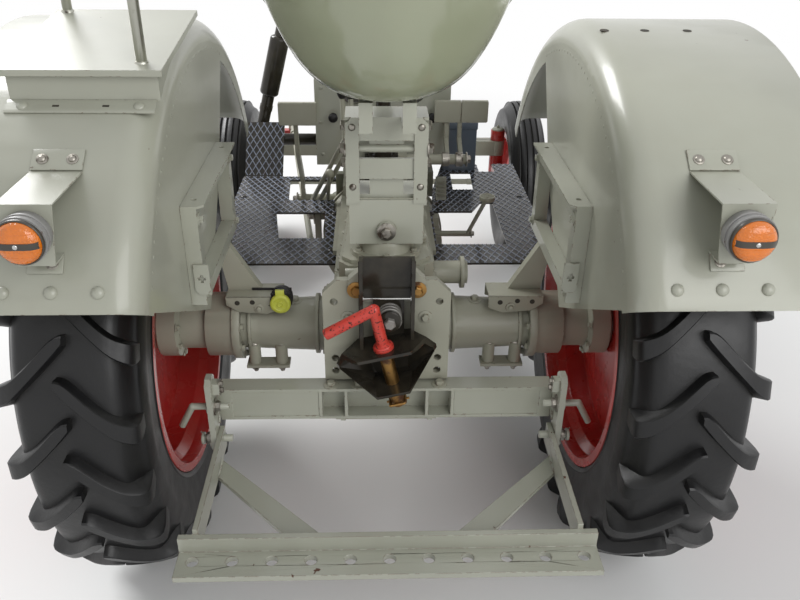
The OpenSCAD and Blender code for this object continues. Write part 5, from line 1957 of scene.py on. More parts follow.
@dataclass
class Engine:
    """Pipes, fan, belt and bolts of the engine."""

    head_start: float = 0.71
    pitch: float = 0.19
    pump_x: float = 0.154
    front: float = 1.33

    def build(self) -> None:
        """Build the engine's small parts."""
        self.pipes()
        self.fan()
        self.belt()
        self.bolts()

    def pipes(self) -> None:
        """Run a fuel pipe from each outlet of the pump to its cylinder."""
        shape = Shape()
        for i in range(3):
            out = 0.84 + 0.045 * i
            head = self.head_start + (i + 0.5) * self.pitch - 0.006
            lift = 0.84 + 0.018 * i
            shape.rod([
                rear(self.pump_x, out, 0.77), rear(self.pump_x, out, lift),
                rear(self.pump_x + 0.006, head, lift), rear(0.128, head + 0.01, 1.02),
                rear(0.066, head + 0.01, 1.024),
            ], 0.003, 10, bend=0.02)
            shape.lathe(rear(self.pump_x, out, 0.764), UP, [(0, 0.0085), (0.014, 0.0085), (0.017, 0.005)], 6)
            shape.lathe(rear(0.104, head + 0.01, 1.0), UP, [(0, 0.011), (0.03, 0.011), (0.034, 0.006)], 6)
        feed = rear(self.pump_x, 0.975, 0.77)
        shape.rod([
            feed, feed + Vector((0, 0, 0.03)), feed + Vector((0.004, 0.045, 0.046)),
            feed + Vector((0.004, 0.13, 0.04)), feed + Vector((-0.022, 0.16, 0.03)),
        ], 0.004, 10, bend=0.016)
        shape.lathe(feed - Vector((0, 0, 0.006)), UP, [(0, 0.0095), (0.016, 0.0095), (0.019, 0.006)], 6)
        shape.build("fuel_pipes", STEEL, smooth=45)

    def fan(self) -> None:
        """Put a six-bladed fan on the water pump."""
        shape = Shape()
        hub = rear(0, self.front + 0.04, 0.88)
        blades = 6
        for k in range(blades):
            a = tau * k / blades
            out = Vector((cos(a), 0, sin(a)))
            along = Vector((-sin(a), 0, cos(a)))
            rings = []
            for j in range(6):
                r = 0.026 + 0.139 * j / 5
                wide = 0.014 + 0.016 * j / 5
                twist = radians(38 - 14 * j / 5)
                chord = cos(twist) * along + sin(twist) * Vector(AHEAD)
                flat = out.cross(chord).normalized() * 0.0012
                rings.append([
                    hub + r * out - wide * chord - flat, hub + r * out + wide * chord - flat,
                    hub + r * out + wide * chord + flat, hub + r * out - wide * chord + flat,
                ])
            shape.rings(rings)
        shape.lathe(
            hub - Vector((0, 0.006, 0)), AHEAD, [(0, 0.034), (0.01, 0.034), (0.014, 0.02), (0.016, 0.0)], 28
        )
        shape.build("fan", BLACK, smooth=45)

    def belt(self) -> None:
        """Run a belt round both pulleys."""
        shape = Shape()
        upper, lower = rear(0, self.front + 0.018, 0.88), rear(0, self.front + 0.018, 0.756)
        high_r, low_r = 0.0495, 0.0635
        lean = asin((low_r - high_r) / (upper - lower).length)
        path = [upper + high_r * Vector((cos(a), 0, sin(a)))
                for a in (lean + (pi - 2 * lean) * k / 16 for k in range(17))]
        path += [lower + low_r * Vector((cos(a), 0, sin(a)))
                 for a in (pi - lean + (pi + 2 * lean) * k / 20 for k in range(21))]
        centre = (upper + lower) / 2
        rings = []
        for p in path:
            out = (p - centre).normalized()
            rings.append([
                p + Vector((0, -0.0055, 0)) + 0.002 * out, p + Vector((0, 0.0055, 0)) + 0.002 * out,
                p + Vector((0, 0.004, 0)) - 0.005 * out, p + Vector((0, -0.004, 0)) - 0.005 * out,
            ])
        shape.rings(rings, loop=True)
        shape.build("fan_belt", MOULDING, smooth=40)

    def bolts(self) -> None:
        """Bolt the rocker covers, the sump and the crankcase doors."""
        shape = Shape()
        for i in range(3):
            middle_y = self.head_start + (i + 0.5) * self.pitch - 0.006
            for y in (-0.03, 0.03):
                shape.bolt(rear(0, middle_y + y, 1.05), UP, 0.015)
            for side in Side:
                for y in (-0.07, 0.07):
                    shape.bolt(rear(side.value * 0.085, middle_y + y, 1.006), UP, 0.017)
        for side in Side:
            for k in range(8):
                shape.bolt(rear(side.value * 0.128, 0.67 + 0.085 * k, 0.52), (side.value, 0, 0), 0.012)
        shape.build("engine_bolts", ENGINE)


@dataclass
class FrontAxle:
    """Caps, nuts and clamps of the front axle and its steering linkage."""

    eye_x: float = 0.545
    beam: float = 0.526
    arm: float = 0.13
    cap_height: float = 0.606
    tie_height: float = 0.4034
    stud_foot: float = 0.3884

    def build(self) -> None:
        """Build the pieces of both ends, the rods' clamps and the pivot's cap."""
        for side in Side:
            self.kingpin(side)
        self.tie_rod_clamps()
        self.drag_link_clamps()
        self.drop_arm_nut()
        self.pivot()

    def kingpin(self, side: Side) -> None:
        """Cap a kingpin, with its grease nipple and the nut below the tie rod's eye.

        Args:
            side: Side of the tractor.
        """
        x = side.value * self.eye_x
        body = Body("knuckle_" + side.label)
        cap = Shape()
        top = Vector((x, FRONT_Y, self.cap_height))
        cap.lathe(top, UP, [
            (-0.001, 0.0275), (0.004, 0.0275), (0.007, 0.025), (0.0095, 0.016), (0.01, 0.006),
            (0.018, 0.0055), (0.0185, 0.0035), (0.022, 0.0035), (0.024, 0.002),
        ], 36)
        cap.build("kingpin_cap_" + side.label, CASTING, body, smooth=50)
        nut = Shape()
        foot = Vector((x, FRONT_Y - self.arm, self.stud_foot))
        nut.bolt(foot, DOWN, 0.024)
        nut.lathe(foot, DOWN, [(0, 0.0065), (0.02, 0.0065), (0.022, 0.005)], 14)
        nut.rod([foot + Vector((-0.013, 0, -0.017)), foot + Vector((0.016, 0.003, -0.017))], 0.0013, 6)
        nut.build("tie_rod_nut_" + side.label, STEEL, body)

    def tie_rod_clamps(self) -> None:
        """Clamp both ends of the tie rod's tube."""
        shape = Shape()
        for side in Side:
            place = Vector((side.value * (self.eye_x - 0.085), FRONT_Y - self.arm, self.tie_height))
            shape.collar(place, (1, 0, 0), 0.011, 0.0118, 0.0165, 28)
            shape.bolt(place + Vector((0, -0.015, -0.012)), DOWN, 0.01)
            shape.lathe(place - Vector((side.value * 0.05, 0, 0)), (1, 0, 0), [
                (-0.014, 0.0118), (-0.012, 0.015), (0.012, 0.015), (0.014, 0.0118),
            ], 6)
        shape.build("tie_rod_clamps", CASTING, Body.TIE_ROD)

    def drag_link_clamps(self) -> None:
        """Clamp the drag link near each end."""
        low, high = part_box("drag_link")
        front = Vector((low[0] + 0.019, high[1] - 0.019, high[2] - 0.015))
        back = Vector((high[0] - 0.013, low[1] + 0.019, low[2] + 0.019))
        way = (front - back).normalized()
        shape = Shape()
        for start, turn in ((back + 0.075 * way, way), (front - 0.085 * way, -way)):
            shape.collar(start, turn, 0.01, 0.0112, 0.0155, 28)
            shape.lathe(start + 0.032 * turn, turn, [
                (-0.012, 0.0112), (-0.01, 0.0145), (0.01, 0.0145), (0.012, 0.0112)
            ], 6)
        shape.build("drag_link_clamps", CASTING, Body.DRAG_LINK)

    def drop_arm_nut(self) -> None:
        """Put the big nut on the drop arm's shaft."""
        low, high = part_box("drop_arm")
        shape = Shape()
        hub = Vector((low[0], high[1] - 0.026, high[2] - 0.026))
        shape.bolt(hub, (-1, 0, 0), 0.034)
        shape.lathe(hub, (-1, 0, 0), [(0, 0.01), (0.024, 0.01), (0.026, 0.008)], 16)
        shape.build("drop_arm_nut", STEEL, Body.DROP_ARM)

    def pivot(self) -> None:
        """Cap the axle's pivot in front, and bolt the bracket's face."""
        shape = Shape()
        shape.lathe(Vector((0, FRONT_Y + 0.07, self.beam)), AHEAD, [
            (-0.001, 0.03), (0.01, 0.03), (0.014, 0.026), (0.016, 0.012), (0.017, 0.0),
        ], 36)
        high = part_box("front_bracket")[1]
        for x in (-0.085, 0.085):
            shape.bolt(Vector((x, high[1], 0.648)), AHEAD, 0.026)
        for side in Side:
            for y in (0.02, 0.1):
                shape.bolt(Vector((side.value * 0.12, FRONT_Y + y, 0.648)), (side.value, 0, 0), 0.019)
            for y in (-0.06, 0.14):
                shape.bolt(Vector((side.value * 0.165, FRONT_Y + y, 0.706)), UP, 0.015)
        shape.build("front_bolts", CASTING, bevel=0.0004)
        pin = Shape()
        place = Vector((0, high[1] - 0.024, 0))
        pin.rod([place + Vector((0, 0, 0.575)), place + Vector((0, 0, 0.698))], 0.0125, 20)
        pin.lathe(place + Vector((0, 0, 0.69)), UP, [(0, 0.022), (0.006, 0.022), (0.01, 0.016)], 24)
        pin.rod([
            place + Vector((0.017 * cos(a), 0, 0.711 + 0.017 * sin(a)))
            for a in (tau * k / 24 for k in range(25))
        ], 0.003, 8)
        pin.build("front_pin", STEEL, smooth=50)


@dataclass
class Controls:
    """Knobs of the levers, and pins and nuts of the pedals."""

    def build(self) -> None:
        """Build the knobs and the pedals' hardware."""
        knobs = Shape()
        for x in (0.0, 0.024):
            foot = rear(x - 0.116, 0.402, 1.1)
            knobs.lathe(foot, (-0.03, -0.06, 1), [
                (-0.004, 0.008), (0.004, 0.0125), (0.014, 0.015), (0.024, 0.0125), (0.03, 0.005),
                (0.031, 0.0),
            ], 28)
        knobs.build("lever_knobs", MOULDING, smooth=60)
        shape = Shape()
        shape.bolt(rear(-0.282, 0.66, 0.69), (-1, 0, 0), 0.024)
        shape.bolt(rear(-0.252, 0.614, 0.69), (-1, 0, 0), 0.017)
        shape.bolt(rear(0.274, 0.43, 0.668), (1, 0, 0), 0.014)
        shape.bolt(rear(0.246, 0.432, 0.908), (1, 0, 0), 0.022)
        for x in (0.1845, 0.2245):
            shape.collar(rear(x, 0.432, 0.908), (1, 0, 0), 0.01, 0.015, 0.021, 28)
        shape.build("pedal_nuts", STEEL)
        self.pads()
        grip = Shape()
        for k in range(-3, 4):
            half = sqrt(0.019 ** 2 - (0.0055 * k) ** 2)
            y = 0.3 + 0.0055 * k
            grip.rod([rear(0.296 - half, y, 0.8442), rear(0.296 + half, y, 0.8442)], 0.0016, 8)
        grip.build("heel_pad_ribs", CASTING)

    def pads(self) -> None:
        """Face the clutch and brake pedals with pressed pads."""
        shape = Shape()
        for left, right, low, high in (
            (-0.309, -0.196, 0.989, 1.057), (0.152, 0.2315, 0.999, 1.064), (0.2325, 0.312, 0.999, 1.064),
        ):
            loops = []
            for y, inset, corner in (
                (0.5012, 0, 0.006), (0.4968, 0, 0.006), (0.4956, 0.0015, 0.005), (0.4952, 0.01, 0.003)
            ):
                half_x, half_z = (right - left) / 2 - inset - corner, (high - low) / 2 - inset - corner
                loops.append([
                    rear(
                        (left + right) / 2 + copysign(half_x, a) + a, y,
                        (low + high) / 2 + copysign(half_z, b) + b
                    )
                    for a, b in circle(corner, 20, 0.5)
                ])
            shape.rings(loops)
        shape.build("pedal_pads", CASTING, smooth=30)


@dataclass
class Hitch:
    """Bolts of the hitch plate, spring, weld, and the pin's end with its clip."""

    plate_back: float = -0.22
    ear: float = 0.008
    jaw_height: float = 0.672
    roll: float = -13.0
    pin_back: float = -0.065
    jaw_low: float = -0.066
    spring_radius: float = 0.0258
    wire: float = 0.0029
    turns: int = 3

    def build(self) -> None:
        """Build the hitch's small parts."""
        self.turn = Matrix.Rotation(radians(self.roll), 3, "Y")
        self.plate_bolts()
        self.spring()
        self.pin_end()
        self.pin_shank()
        self.cross_rod()
        self.handle_washer()
        self.lip()

    def rolled(self, x: float, y: float, z: float) -> Vector:
        """Point given about the jaw's rolled axis on the hitch plate."""
        return rear(0, self.plate_back, self.jaw_height) + self.turn @ Vector((x, y, z))

    def plate_bolts(self) -> None:
        """Bolt the channel's pad through its ears, and the plate to the case."""
        shape = Shape()
        for side in Side:
            shape.bolt(rear(side.value * 0.07, self.plate_back - self.ear, 0.826), BACK, 0.021)
        shape.build("hitch_ear_bolts", BRASS)
        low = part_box("hitch_plate")[0]
        more = Shape()
        for side in Side:
            for z in (low[2] + 0.06, 0.75):
                more.bolt(rear(side.value * 0.09, self.plate_back, z), BACK, 0.017)
        more.build("hitch_plate_bolts", CASTING)

    def spring(self) -> None:
        """Coil the spring between the pad and its washer."""
        shape = Shape()
        start = rear(0.006, self.plate_back - self.ear - 0.005, 0.768)
        steps = 20 * self.turns
        length = 0.036
        shape.rod([
            start + Vector((
                self.spring_radius * cos(tau * k / 20), -length * k / steps,
                self.spring_radius * sin(tau * k / 20),
            ))
            for k in range(steps + 1)
        ], self.wire, 12)
        end = start - Vector((0, length + 0.004, 0))
        shape.lathe(end, BACK, [(-0.002, 0.0215), (0.0015, 0.0215), (0.002, 0.0205), (0.002, 0.0145)], 36)
        shape.bolt(end - Vector((0, 0.002, 0)), BACK, 0.024, washer=False)
        shape.build("hitch_spring", SPRING, smooth=35)

    def pin_end(self) -> None:
        """Carry the pin's lower end through, and hold it with a square clip."""
        shape = Shape()
        down = self.rolled(0, 0, -1) - self.rolled(0, 0, 0)
        top = self.rolled(0, self.pin_back, self.jaw_low)
        shape.lathe(top, down, [
            (-0.001, 0.022), (0.003, 0.022), (0.004, 0.0165), (0.04, 0.0165), (0.042, 0.0158),
            (0.058, 0.0158), (0.061, 0.013),
        ], 28)
        corner = [(-0.018, -0.018), (0.018, -0.018), (0.018, 0.018), (-0.018, 0.018), (-0.018, -0.018)]
        shape.rod([
            self.rolled(x, self.pin_back + y, self.jaw_low - 0.049) for x, y in corner
        ], 0.0036, 10, bend=0.005)
        shape.rod([self.rolled(x, self.pin_back, self.jaw_low - 0.049) for x in (-0.026, 0.028)], 0.003, 10)
        shape.build("pin_clip", BRASS, smooth=45)

    def pin_shank(self) -> None:
        """Sleeve the pin where it crosses the jaw."""
        shape = Shape()
        up = self.rolled(0, 0, 1) - self.rolled(0, 0, 0)
        shape.lathe(self.rolled(0, self.pin_back, -0.062), up, [
            (0, 0.0146), (0, 0.0156), (0.004, 0.016), (0.08, 0.016), (0.084, 0.0156), (0.084, 0.0146),
        ], 32, hollow=True)
        shape.build("pin_sleeve", BRASS, smooth=45)

    def cross_rod(self) -> None:
        """Run a thin rod across the channel above the spring, with a washer at each cheek."""
        shape = Shape()
        y, z = self.plate_back - 0.042, 0.822
        shape.rod([rear(-0.0545, y, z), rear(0.0545, y, z)], 0.0024, 12)
        for side in Side:
            shape.lathe(rear(side.value * 0.0542, y, z), (-side.value, 0, 0), [
                (0, 0.007), (0.0015, 0.007), (0.002, 0.005)
            ], 18)
        shape.build("channel_rod", BRIGHT)

    def handle_washer(self) -> None:
        """Lay a worn washer under the handle, and cap the handle's end."""
        shape = Shape()
        up = self.rolled(0, 0, 1) - self.rolled(0, 0, 0)
        top = self.rolled(0, self.pin_back, 0.041)
        shape.lathe(
            top, up, [(-0.001, 0.0225), (0.003, 0.0225), (0.0045, 0.021), (0.006, 0.0165), (0.01, 0.0135)], 36
        )
        shape.build("handle_washer", HANDLE, smooth=50)
        end = Shape()
        grip = rear(-0.008 - 0.128, self.plate_back - 0.065 - 0.034, 0.708 + 0.056)
        bend = rear(-0.008 - 0.022, self.plate_back - 0.065 - 0.024, 0.708 + 0.112)
        end.lathe(grip, grip - bend, [(-0.002, 0.0131), (0.0, 0.0128), (0.0022, 0.0112), (0.003, 0.0)], 28)
        end.build("handle_end", HANDLE, smooth=50)

    def lip(self) -> None:
        """Round the channel's cheeks with a welded bead."""
        shape = Shape()
        for side in Side:
            shape.rod([
                rear(side.value * 0.0625, self.plate_back - self.ear - 0.001, z)
                for z in (0.69 + 0.002 * k for k in range(105))
            ], 0.0022, 8)
        shape.build("channel_welds", BLACK, smooth=60)


@dataclass
class Drawbar:
    """Bolts of the cross beam, hardware of its hangers, and weld beads of the frame."""

    beam_back: float = -0.254
    beam_top: float = 0.57
    bolt_in: float = 0.017
    bolt_places: tuple[float, ...] = (-0.134, -0.067, 0.128)
    hanger: float = 0.41
    pin_back: float = -0.298
    pivot: float = 0.462
    rear_edge: float = -0.695
    wide: float = 0.08
    low: float = 0.42

    def build(self) -> None:
        """Build the beam's bolts, the hangers' hardware and the welds."""
        self.beam_bolts()
        self.hanger_hardware()
        self.welds()

    def beam_bolts(self) -> None:
        """Bolt the beam through its top flange."""
        shape = Shape()
        for x in self.bolt_places:
            shape.bolt(rear(x, self.beam_back + self.bolt_in, self.beam_top), UP, 0.019)
        shape.build("beam_bolts", CASTING)

    def hanger_hardware(self) -> None:
        """Put nuts and split pins on the pivots, and collars on the locking pins."""
        for side in Side:
            s = side.value
            shape = Shape()
            pivot = rear(s * self.hanger, self.pin_back, self.pivot)
            shape.bolt(pivot + Vector((s * 0.007, 0, 0)), (s, 0, 0), 0.026)
            shape.rod([
                pivot + Vector((s * 0.03, 0, -0.014)), pivot + Vector((s * 0.03, 0, 0.013)),
                pivot + Vector((s * 0.035, 0.004, 0.017)),
            ], 0.0017, 8)
            lock = rear(s * self.hanger, self.pin_back, 0.556)
            shape.lathe(lock + Vector((s * 0.007, 0, 0)), (s, 0, 0), [
                (0, 0.0165), (0.004, 0.0165), (0.005, 0.0085)
            ], 24)
            shape.bolt(lock + Vector((s * -0.007, 0, 0)), (-s, 0, 0), 0.022)
            for z in (0.602, 0.62):
                shape.bolt(rear(s * (self.hanger - 0.024), self.pin_back, z), (-s, 0, 0), 0.012)
            shape.build("hanger_hardware_" + side.label, STEEL)

    def welds(self) -> None:
        """Lay rippled beads where the frame's bars meet."""
        shape = Shape()
        front = self.rear_edge + self.wide
        for side in Side:
            s = side.value
            self.bead(shape, rear(s * 0.11, front + 0.001, 0.431), rear(s * 0.19, front + 0.001, 0.431))
            self.bead(shape, rear(s * 0.3915, -0.342, 0.431), rear(s * 0.3915, -0.398, 0.431))
            self.bead(shape, rear(s * 0.391, front + 0.002, 0.435), rear(s * 0.402, front + 0.002, 0.435))
            self.bead(shape, rear(s * 0.3905, front + 0.001, 0.436), rear(s * 0.3905, front + 0.001, 0.466))
            self.bead(shape, rear(s * 0.402, -0.279, 0.494), rear(s * 0.402, -0.279, 0.558))
        shape.build("drawbar_welds", DRAWBAR, smooth=60, merge=False)

    def bead(self, shape: Shape, start: Vector, end: Vector) -> None:
        """Add a weld bead with a ripple every 3.5 mm.

        Args:
            shape: Shape to add to.
            start: First end.
            end: Other end.
        """
        way = (end - start).normalized()
        count = max(2, round((end - start).length / 0.0035))
        profile = []
        for k in range(4 * count + 1):
            ripple = 0.0033 + 0.0006 * cos(pi * k / 2)
            profile.append(((end - start).length * k / (4 * count), ripple))
        shape.lathe(start, way, profile, 10)


@dataclass
class Electrics:
    """Cap and conduit of the trailer socket, and the battery's lid and strap."""

    socket: tuple[float, float, float] = (-0.264, -0.066, 0.704)

    def build(self) -> None:
        """Build the socket's cap, its conduit and the battery's fittings."""
        self.cap()
        self.conduit()
        self.battery()

    def cap(self) -> None:
        """Hinge a ribbed cap on the socket."""
        x, y, z = self.socket
        cap = Shape()
        cap.lathe(rear(x, y, z), BACK, [
            (0.001, 0.0255), (0.0105, 0.0258), (0.0125, 0.024), (0.013, 0.0175), (0.0115, 0.016),
            (0.0115, 0.0),
        ], 40)
        cap.box(rear(x - 0.011, y - 0.011, z + 0.02), rear(x + 0.011, y - 0.002, z + 0.038))
        cap.lathe(
            rear(x, y - 0.0112, z), BACK, [(0, 0.009), (0.0025, 0.0085), (0.003, 0.006), (0.001, 0.0055)], 24
        )
        cap.build("socket_lid", CAP, smooth=45, bevel=0.0006)
        rings = Shape()
        for k in range(3):
            rings.lathe(rear(x, y + 0.008 + 0.01 * k, z), AHEAD, [
                (0, 0.027), (0.001, 0.0285), (0.004, 0.0285), (0.005, 0.027)
            ], 40)
        rings.rod([rear(x - 0.015, y - 0.004, z + 0.034), rear(x + 0.015, y - 0.004, z + 0.034)], 0.003, 10)
        for side in Side:
            rings.dome(rear(x + side.value * 0.021, y + 0.004, z + 0.021), BACK, 0.004, 0.002)
        rings.build("socket_rings", MOULDING, smooth=50)

    def conduit(self) -> None:
        """Run a stiff conduit from the socket to the fender's frame, held by two clips."""
        x, y, z = self.socket
        route = [
            rear(x, -0.024, z), rear(x, 0.02, z + 0.002), rear(x - 0.03, 0.036, 0.69),
            rear(-0.345, 0.03, 0.68), rear(-0.376, 0.022, 0.7), rear(-0.382, 0.012, 0.79),
            rear(-0.392, 0.01, 0.845),
        ]
        shape = Shape()
        shape.rod(route, 0.0045, 12, bend=0.022)
        shape.build("socket_conduit", MOULDING, smooth=60)
        clips = Shape()
        for place, way in ((rear(-0.345, 0.03, 0.68), (-1, -0.2, 0.3)), (rear(-0.384, 0.012, 0.81), UP)):
            clips.collar(place, way, 0.005, 0.0045, 0.0062, 20)
        clips.build("conduit_clips", BRIGHT)

    def battery(self) -> None:
        """Fit a lid on the battery box, with a strap over it held by a domed bolt on each side and a bolt on
        top.
        """
        low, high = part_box("battery_box")
        lid = Shape()
        lid.box(low - Vector((0.003, 0.003, 0)) + Vector((0, 0, 0.148)), high + Vector((0.003, 0.003, 0.004)))
        lid.build("battery_lid", BOX, bevel=0.003)
        strap = Shape()
        y = (low[1] + high[1]) / 2
        strap.box(
            (low[0] - 0.006, y - 0.012, high[2] + 0.0035), (high[0] + 0.006, y + 0.012, high[2] + 0.006)
        )
        for x, s in ((low[0] - 0.006, -1), (high[0] + 0.006, 1)):
            strap.box((x - 0.0012, y - 0.012, low[2] + 0.002), (x + 0.0012, y + 0.012, high[2] + 0.006))
            strap.dome(Vector((x + s * 0.001, y, low[2] + 0.08)), (s, 0, 0), 0.006, 0.003)
        strap.bolt(Vector(((low[0] + high[0]) / 2, y, high[2] + 0.006)), UP, 0.013)
        strap.build("battery_strap", BLACK, bevel=0.0005)


@dataclass
class Exhaust:
    """Flange, clamp and outlet of the exhaust pipe."""

    port: tuple[float, float, float] = (-0.15, 1.01, 0.785)
    elbow: tuple[float, float, float] = (-0.444, 1.01, 0.785)
    outlet: tuple[float, float, float] = (-0.3, 1.01, 1.32)
    radius: float = 0.021

    def build(self) -> None:
        """Build the pipe's fittings."""
        port, elbow, outlet = rear(*self.port), rear(*self.elbow), rear(*self.outlet)
        rise = (outlet - elbow).normalized()
        shape = Shape()
        shape.lathe(port, (-1, 0, 0), [(0.0005, 0.031), (0.008, 0.031), (0.01, 0.029), (0.01, 0.021)], 32)
        for y, z in circle(0.0255, 3):
            shape.bolt(port + Vector((-0.01, y, z)), (-1, 0, 0), 0.009, washer=False)
        for share in (0.22, 0.8):
            shape.lathe(elbow + share * (outlet - elbow), rise, [
                (-0.009, 0.0208), (-0.009, 0.0232), (0.009, 0.0232), (0.009, 0.0208),
            ], 32)
        shape.lathe(elbow + 0.3 * (outlet - elbow), rise, [
            (0, 0.0208), (0.006, 0.03), (0.012, 0.033), (0.2, 0.033), (0.206, 0.03), (0.212, 0.0208),
        ], 40)
        shape.lathe(outlet, rise, [
            (-0.012, 0.0212), (-0.002, 0.0225), (0.0, 0.0225), (0.0, 0.0185), (-0.03, 0.0185)
        ], 36)
        shape.build("exhaust_fittings", BLACK, smooth=45)
        # A dark disc just inside the outlet: painted shade for the inside of the pipe.
        rim = Shape()
        rim.lathe(outlet, rise, [(0.0004, 0.018), (0.0006, 0.0)], 32)
        rim.build("exhaust_bore", SHADE)


@dataclass
class Studio:
    """Camera at the photograph's angle, pale floor and soft lights."""

    eye: Point = (-0.029, -2.483, 1.672)
    pitch: float = 29.19
    yaw: float = 2.17
    roll: float = 0.76
    lens: float = 35.17
    sensor: float = 36.0
    floor_half: float = 30.0
    floor_white: tuple[float, float] = (1.5, 3.2)

    def build(self) -> None:
        """Make the camera, the floor, the world and the lights."""
        self.camera()
        self.floor()
        self.world()
        self.light("key", (-3.2, 2.6, 4.6), 2.6, 300.0)
        self.light("fill", (2.4, -4.4, 3.2), 3.4, 120.0)
        bpy.context.scene.view_settings.view_transform = "Standard"

    def camera(self) -> None:
        """Stand the camera where the photograph was taken."""
        pitch, yaw, roll = (radians(a) for a in (self.pitch, self.yaw, self.roll))
        ahead = Vector((sin(yaw) * cos(pitch), cos(yaw) * cos(pitch), -sin(pitch)))
        right = Vector((cos(yaw), -sin(yaw), 0))
        up = right.cross(ahead)
        right, up = (cos(roll) * right + sin(roll) * up, cos(roll) * up - sin(roll) * right)
        data = bpy.data.cameras.new("camera")
        data.lens = self.lens
        data.sensor_width = self.sensor
        data.sensor_fit = "HORIZONTAL"
        made = bpy.data.objects.new("camera", data)
        turn = Matrix((right, up, -ahead)).transposed().to_4x4()
        made.matrix_world = Matrix.Translation(self.eye) @ turn
        bpy.context.scene.collection.objects.link(made)
        bpy.context.scene.camera = made

    def floor(self) -> None:
        """Lay a pale floor."""
        h = self.floor_half
        mesh = bpy.data.meshes.new("floor")
        mesh.from_pydata([(-h, -h, 0), (h, -h, 0), (h, h, 0), (-h, h, 0)], [], [(0, 1, 2, 3)])
        made = bpy.data.objects.new("floor", mesh)
        bpy.context.scene.collection.objects.link(made)
        g = Graph("floor")
        g.set(Base_Color=(0.78, 0.78, 0.77), Roughness=0.9)
        self.whiten(g)
        mesh.materials.append(g.material)

    def whiten(self, g: Graph) -> None:
        """Turn the floor plain white away from the tractor, for the camera and for reflections.

        Args:
            g: Node graph of the floor.
        """
        reach = g.node("VectorMath", Vector=g.place(1.0, (1, 0.7, 0)))
        reach.operation = "LENGTH"
        far = g.ramp(reach.outputs["Value"], *self.floor_white)
        path = g.node("LightPath")
        seen = g.math("MAXIMUM", path.outputs["Is Camera Ray"], path.outputs["Is Glossy Ray"])
        seen = g.math("MAXIMUM", seen, path.outputs["Is Transmission Ray"])
        glow = g.node("Emission", Color=(1.0, 1.0, 1.0), Strength=1.0)
        mixed = g.node("MixShader", Fac=g.math("MULTIPLY", far, seen))
        g.tree.links.new(g.shader.outputs["BSDF"], mixed.inputs[1])
        g.tree.links.new(glow.outputs["Emission"], mixed.inputs[2])
        g.tree.links.new(mixed.outputs["Shader"], g.tree.nodes["Material Output"].inputs["Surface"])

    def world(self) -> None:
        """Soft light from all round, and a white background."""
        world = bpy.data.worlds.new("studio")
        world.use_nodes = True
        bpy.context.scene.world = world
        tree = world.node_tree
        ground = tree.nodes["Background"]
        ground.inputs["Strength"].default_value = 0.55
        shown = tree.nodes.new("ShaderNodeBackground")
        shown.inputs["Strength"].default_value = 1.0
        ground.inputs["Color"].default_value = (0.97, 0.98, 1.0, 1.0)
        shown.inputs["Color"].default_value = (1.0, 1.0, 1.0, 1.0)
        path = tree.nodes.new("ShaderNodeLightPath")
        seen = path.outputs["Is Camera Ray"]
        for ray in ("Is Glossy Ray", "Is Transmission Ray"):
            most = tree.nodes.new("ShaderNodeMath")
            most.operation = "MAXIMUM"
            tree.links.new(seen, most.inputs[0])
            tree.links.new(path.outputs[ray], most.inputs[1])
            seen = most.outputs[0]
        mix = tree.nodes.new("ShaderNodeMixShader")
        tree.links.new(seen, mix.inputs["Fac"])
        tree.links.new(ground.outputs[0], mix.inputs[1])
        tree.links.new(shown.outputs[0], mix.inputs[2])
        tree.links.new(mix.outputs[0], tree.nodes["World Output"].inputs["Surface"])

    def light(self, name: str, place: Point, size: float, power: float) -> None:
        """Hang a square lamp that faces the tractor's middle.

        Args:
            name: Name of the lamp.
            place: Where it hangs.
            size: Side of its square.
            power: Power in watts.
        """
        data = bpy.data.lights.new(name, "AREA")
        data.size = size
        data.energy = power
        made = bpy.data.objects.new(name, data)
        made.location = place
        made.rotation_euler = (Vector((0, 0, 0.7)) - Vector(place)).to_track_quat("-Z", "Y").to_euler()
        bpy.context.scene.collection.objects.link(made)


def rear_tyre(side: Side) -> RearTyre:
    """Rear tyre of a side, sized from the model.

    Args:
        side: Side of the tractor.

    Returns:
        The tyre, to be built.
    """
    name = side.label
    low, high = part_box("rear_tyre_" + name)
    rim_low, rim_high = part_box("rear_rim_" + name)
    centre = Vector(((low[0] + high[0]) / 2, AXLE_Y, AXLE_Z))
    radius = AXLE_Z - low[2]
    return RearTyre(side, radius, 0.131, (rim_high[2] - rim_low[2]) / 2, 0.118, centre)


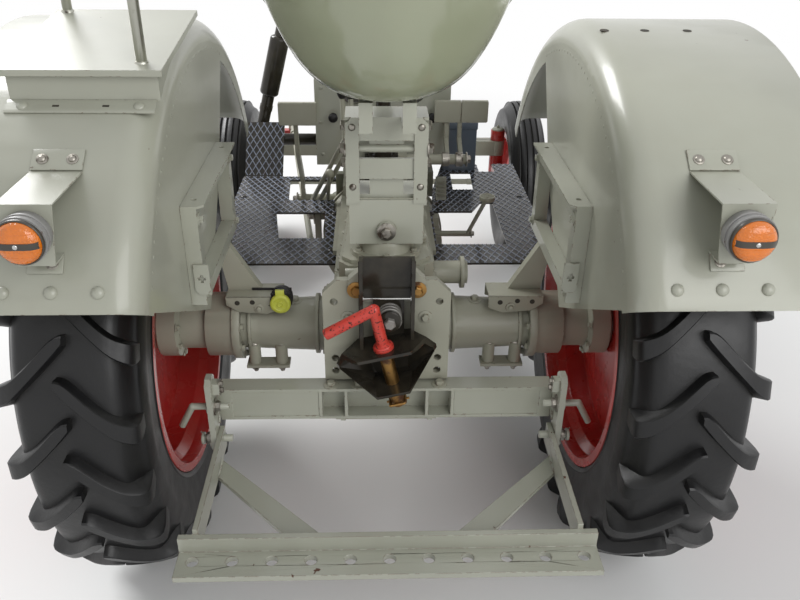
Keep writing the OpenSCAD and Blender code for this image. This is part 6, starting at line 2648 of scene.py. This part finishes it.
def front_tyre(side: Side) -> FrontTyre:
    """Front tyre of a side, sized from the model.

    Args:
        side: Side of the tractor.

    Returns:
        The tyre, to be built.
    """
    name = side.label
    low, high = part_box("front_tyre_" + name)
    rim_low, rim_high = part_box("front_rim_" + name)
    centre = Vector(((low[0] + high[0]) / 2, FRONT_Y, FRONT_Z))
    return FrontTyre(
        side, (high[2] - low[2]) / 2, (high[0] - low[0]) / 2, (rim_high[2] - rim_low[2]) / 2, 0.061, centre,
        128
    )


def wheel(side: Side, place: str, radius: float, axle: Vector) -> list[object]:
    """Rim, hub and fittings of one wheel.

    Args:
        side: Side of the tractor.
        place: "rear" or "front".
        radius: Radius of the rim's flange.
        axle: Point on the wheel's axle, at the tractor's middle.

    Returns:
        The objects that build them.
    """
    name = place + "_wheel_" + side.label
    body = Body(name)
    rim = place + "_rim_" + side.label
    low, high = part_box(place + "_tyre_" + side.label)
    centre = Vector(((low[0] + high[0]) / 2, axle[1], axle[2]))
    disc = 0.006 - side.value * Rim.dish
    if place == "rear":
        bell = (-0.092, -0.04, 0.084)
        return [
            Rim(rim, body, centre, radius, 0.118, 0.038, 0.06),
            Hub(name, body, side, centre, 0.4604 - abs(centre[0]), 0.056, 0.064, bell, disc, CASTING),
            WheelFittings(name, body, side, centre, disc, 0.09, 8, 0.024, 0.056, 0.056, 0.352),
        ]
    return [
        Rim(rim, body, centre, radius, 0.061, 0.024, 0.04),
        Hub(name, body, side, centre, -0.064, 0.036, 0.044, (-0.058, -0.046, 0.05), disc, RED, bolts=0),
        WheelFittings(name, body, side, centre, disc, 0.07, 5, 0.02, 0.036, 0.04, 0.196),
    ]


def main() -> None:
    """Build every sub-assembly in order, and report each piece."""
    logging.basicConfig(level=logging.INFO, format="%(name)s: %(message)s")
    parts = [Studio(), CadDressing()]
    for side in Side:
        parts += [rear_tyre(side), *wheel(side, "rear", 0.383, Vector((0, AXLE_Y, AXLE_Z)))]
        parts += [front_tyre(side), *wheel(side, "front", 0.222, Vector((0, FRONT_Y, FRONT_Z)))]
    parts += [
        Seat(), Gearbox(), Stays(), Footplates(), Fenders(), TailLamps(), Headlamps(), Steering(), Dash(),
        Bonnet(), Engine(), FrontAxle(), Controls(), Hitch(), Drawbar(), Electrics(), Exhaust(),
    ]
    for part in parts:
        known = set(bpy.data.objects.keys())
        part.build()
        for name in sorted(set(bpy.data.objects.keys()) - known):
            LOG.info("%s built %s", type(part).__name__, name)


if __name__ == "__main__":
    main()
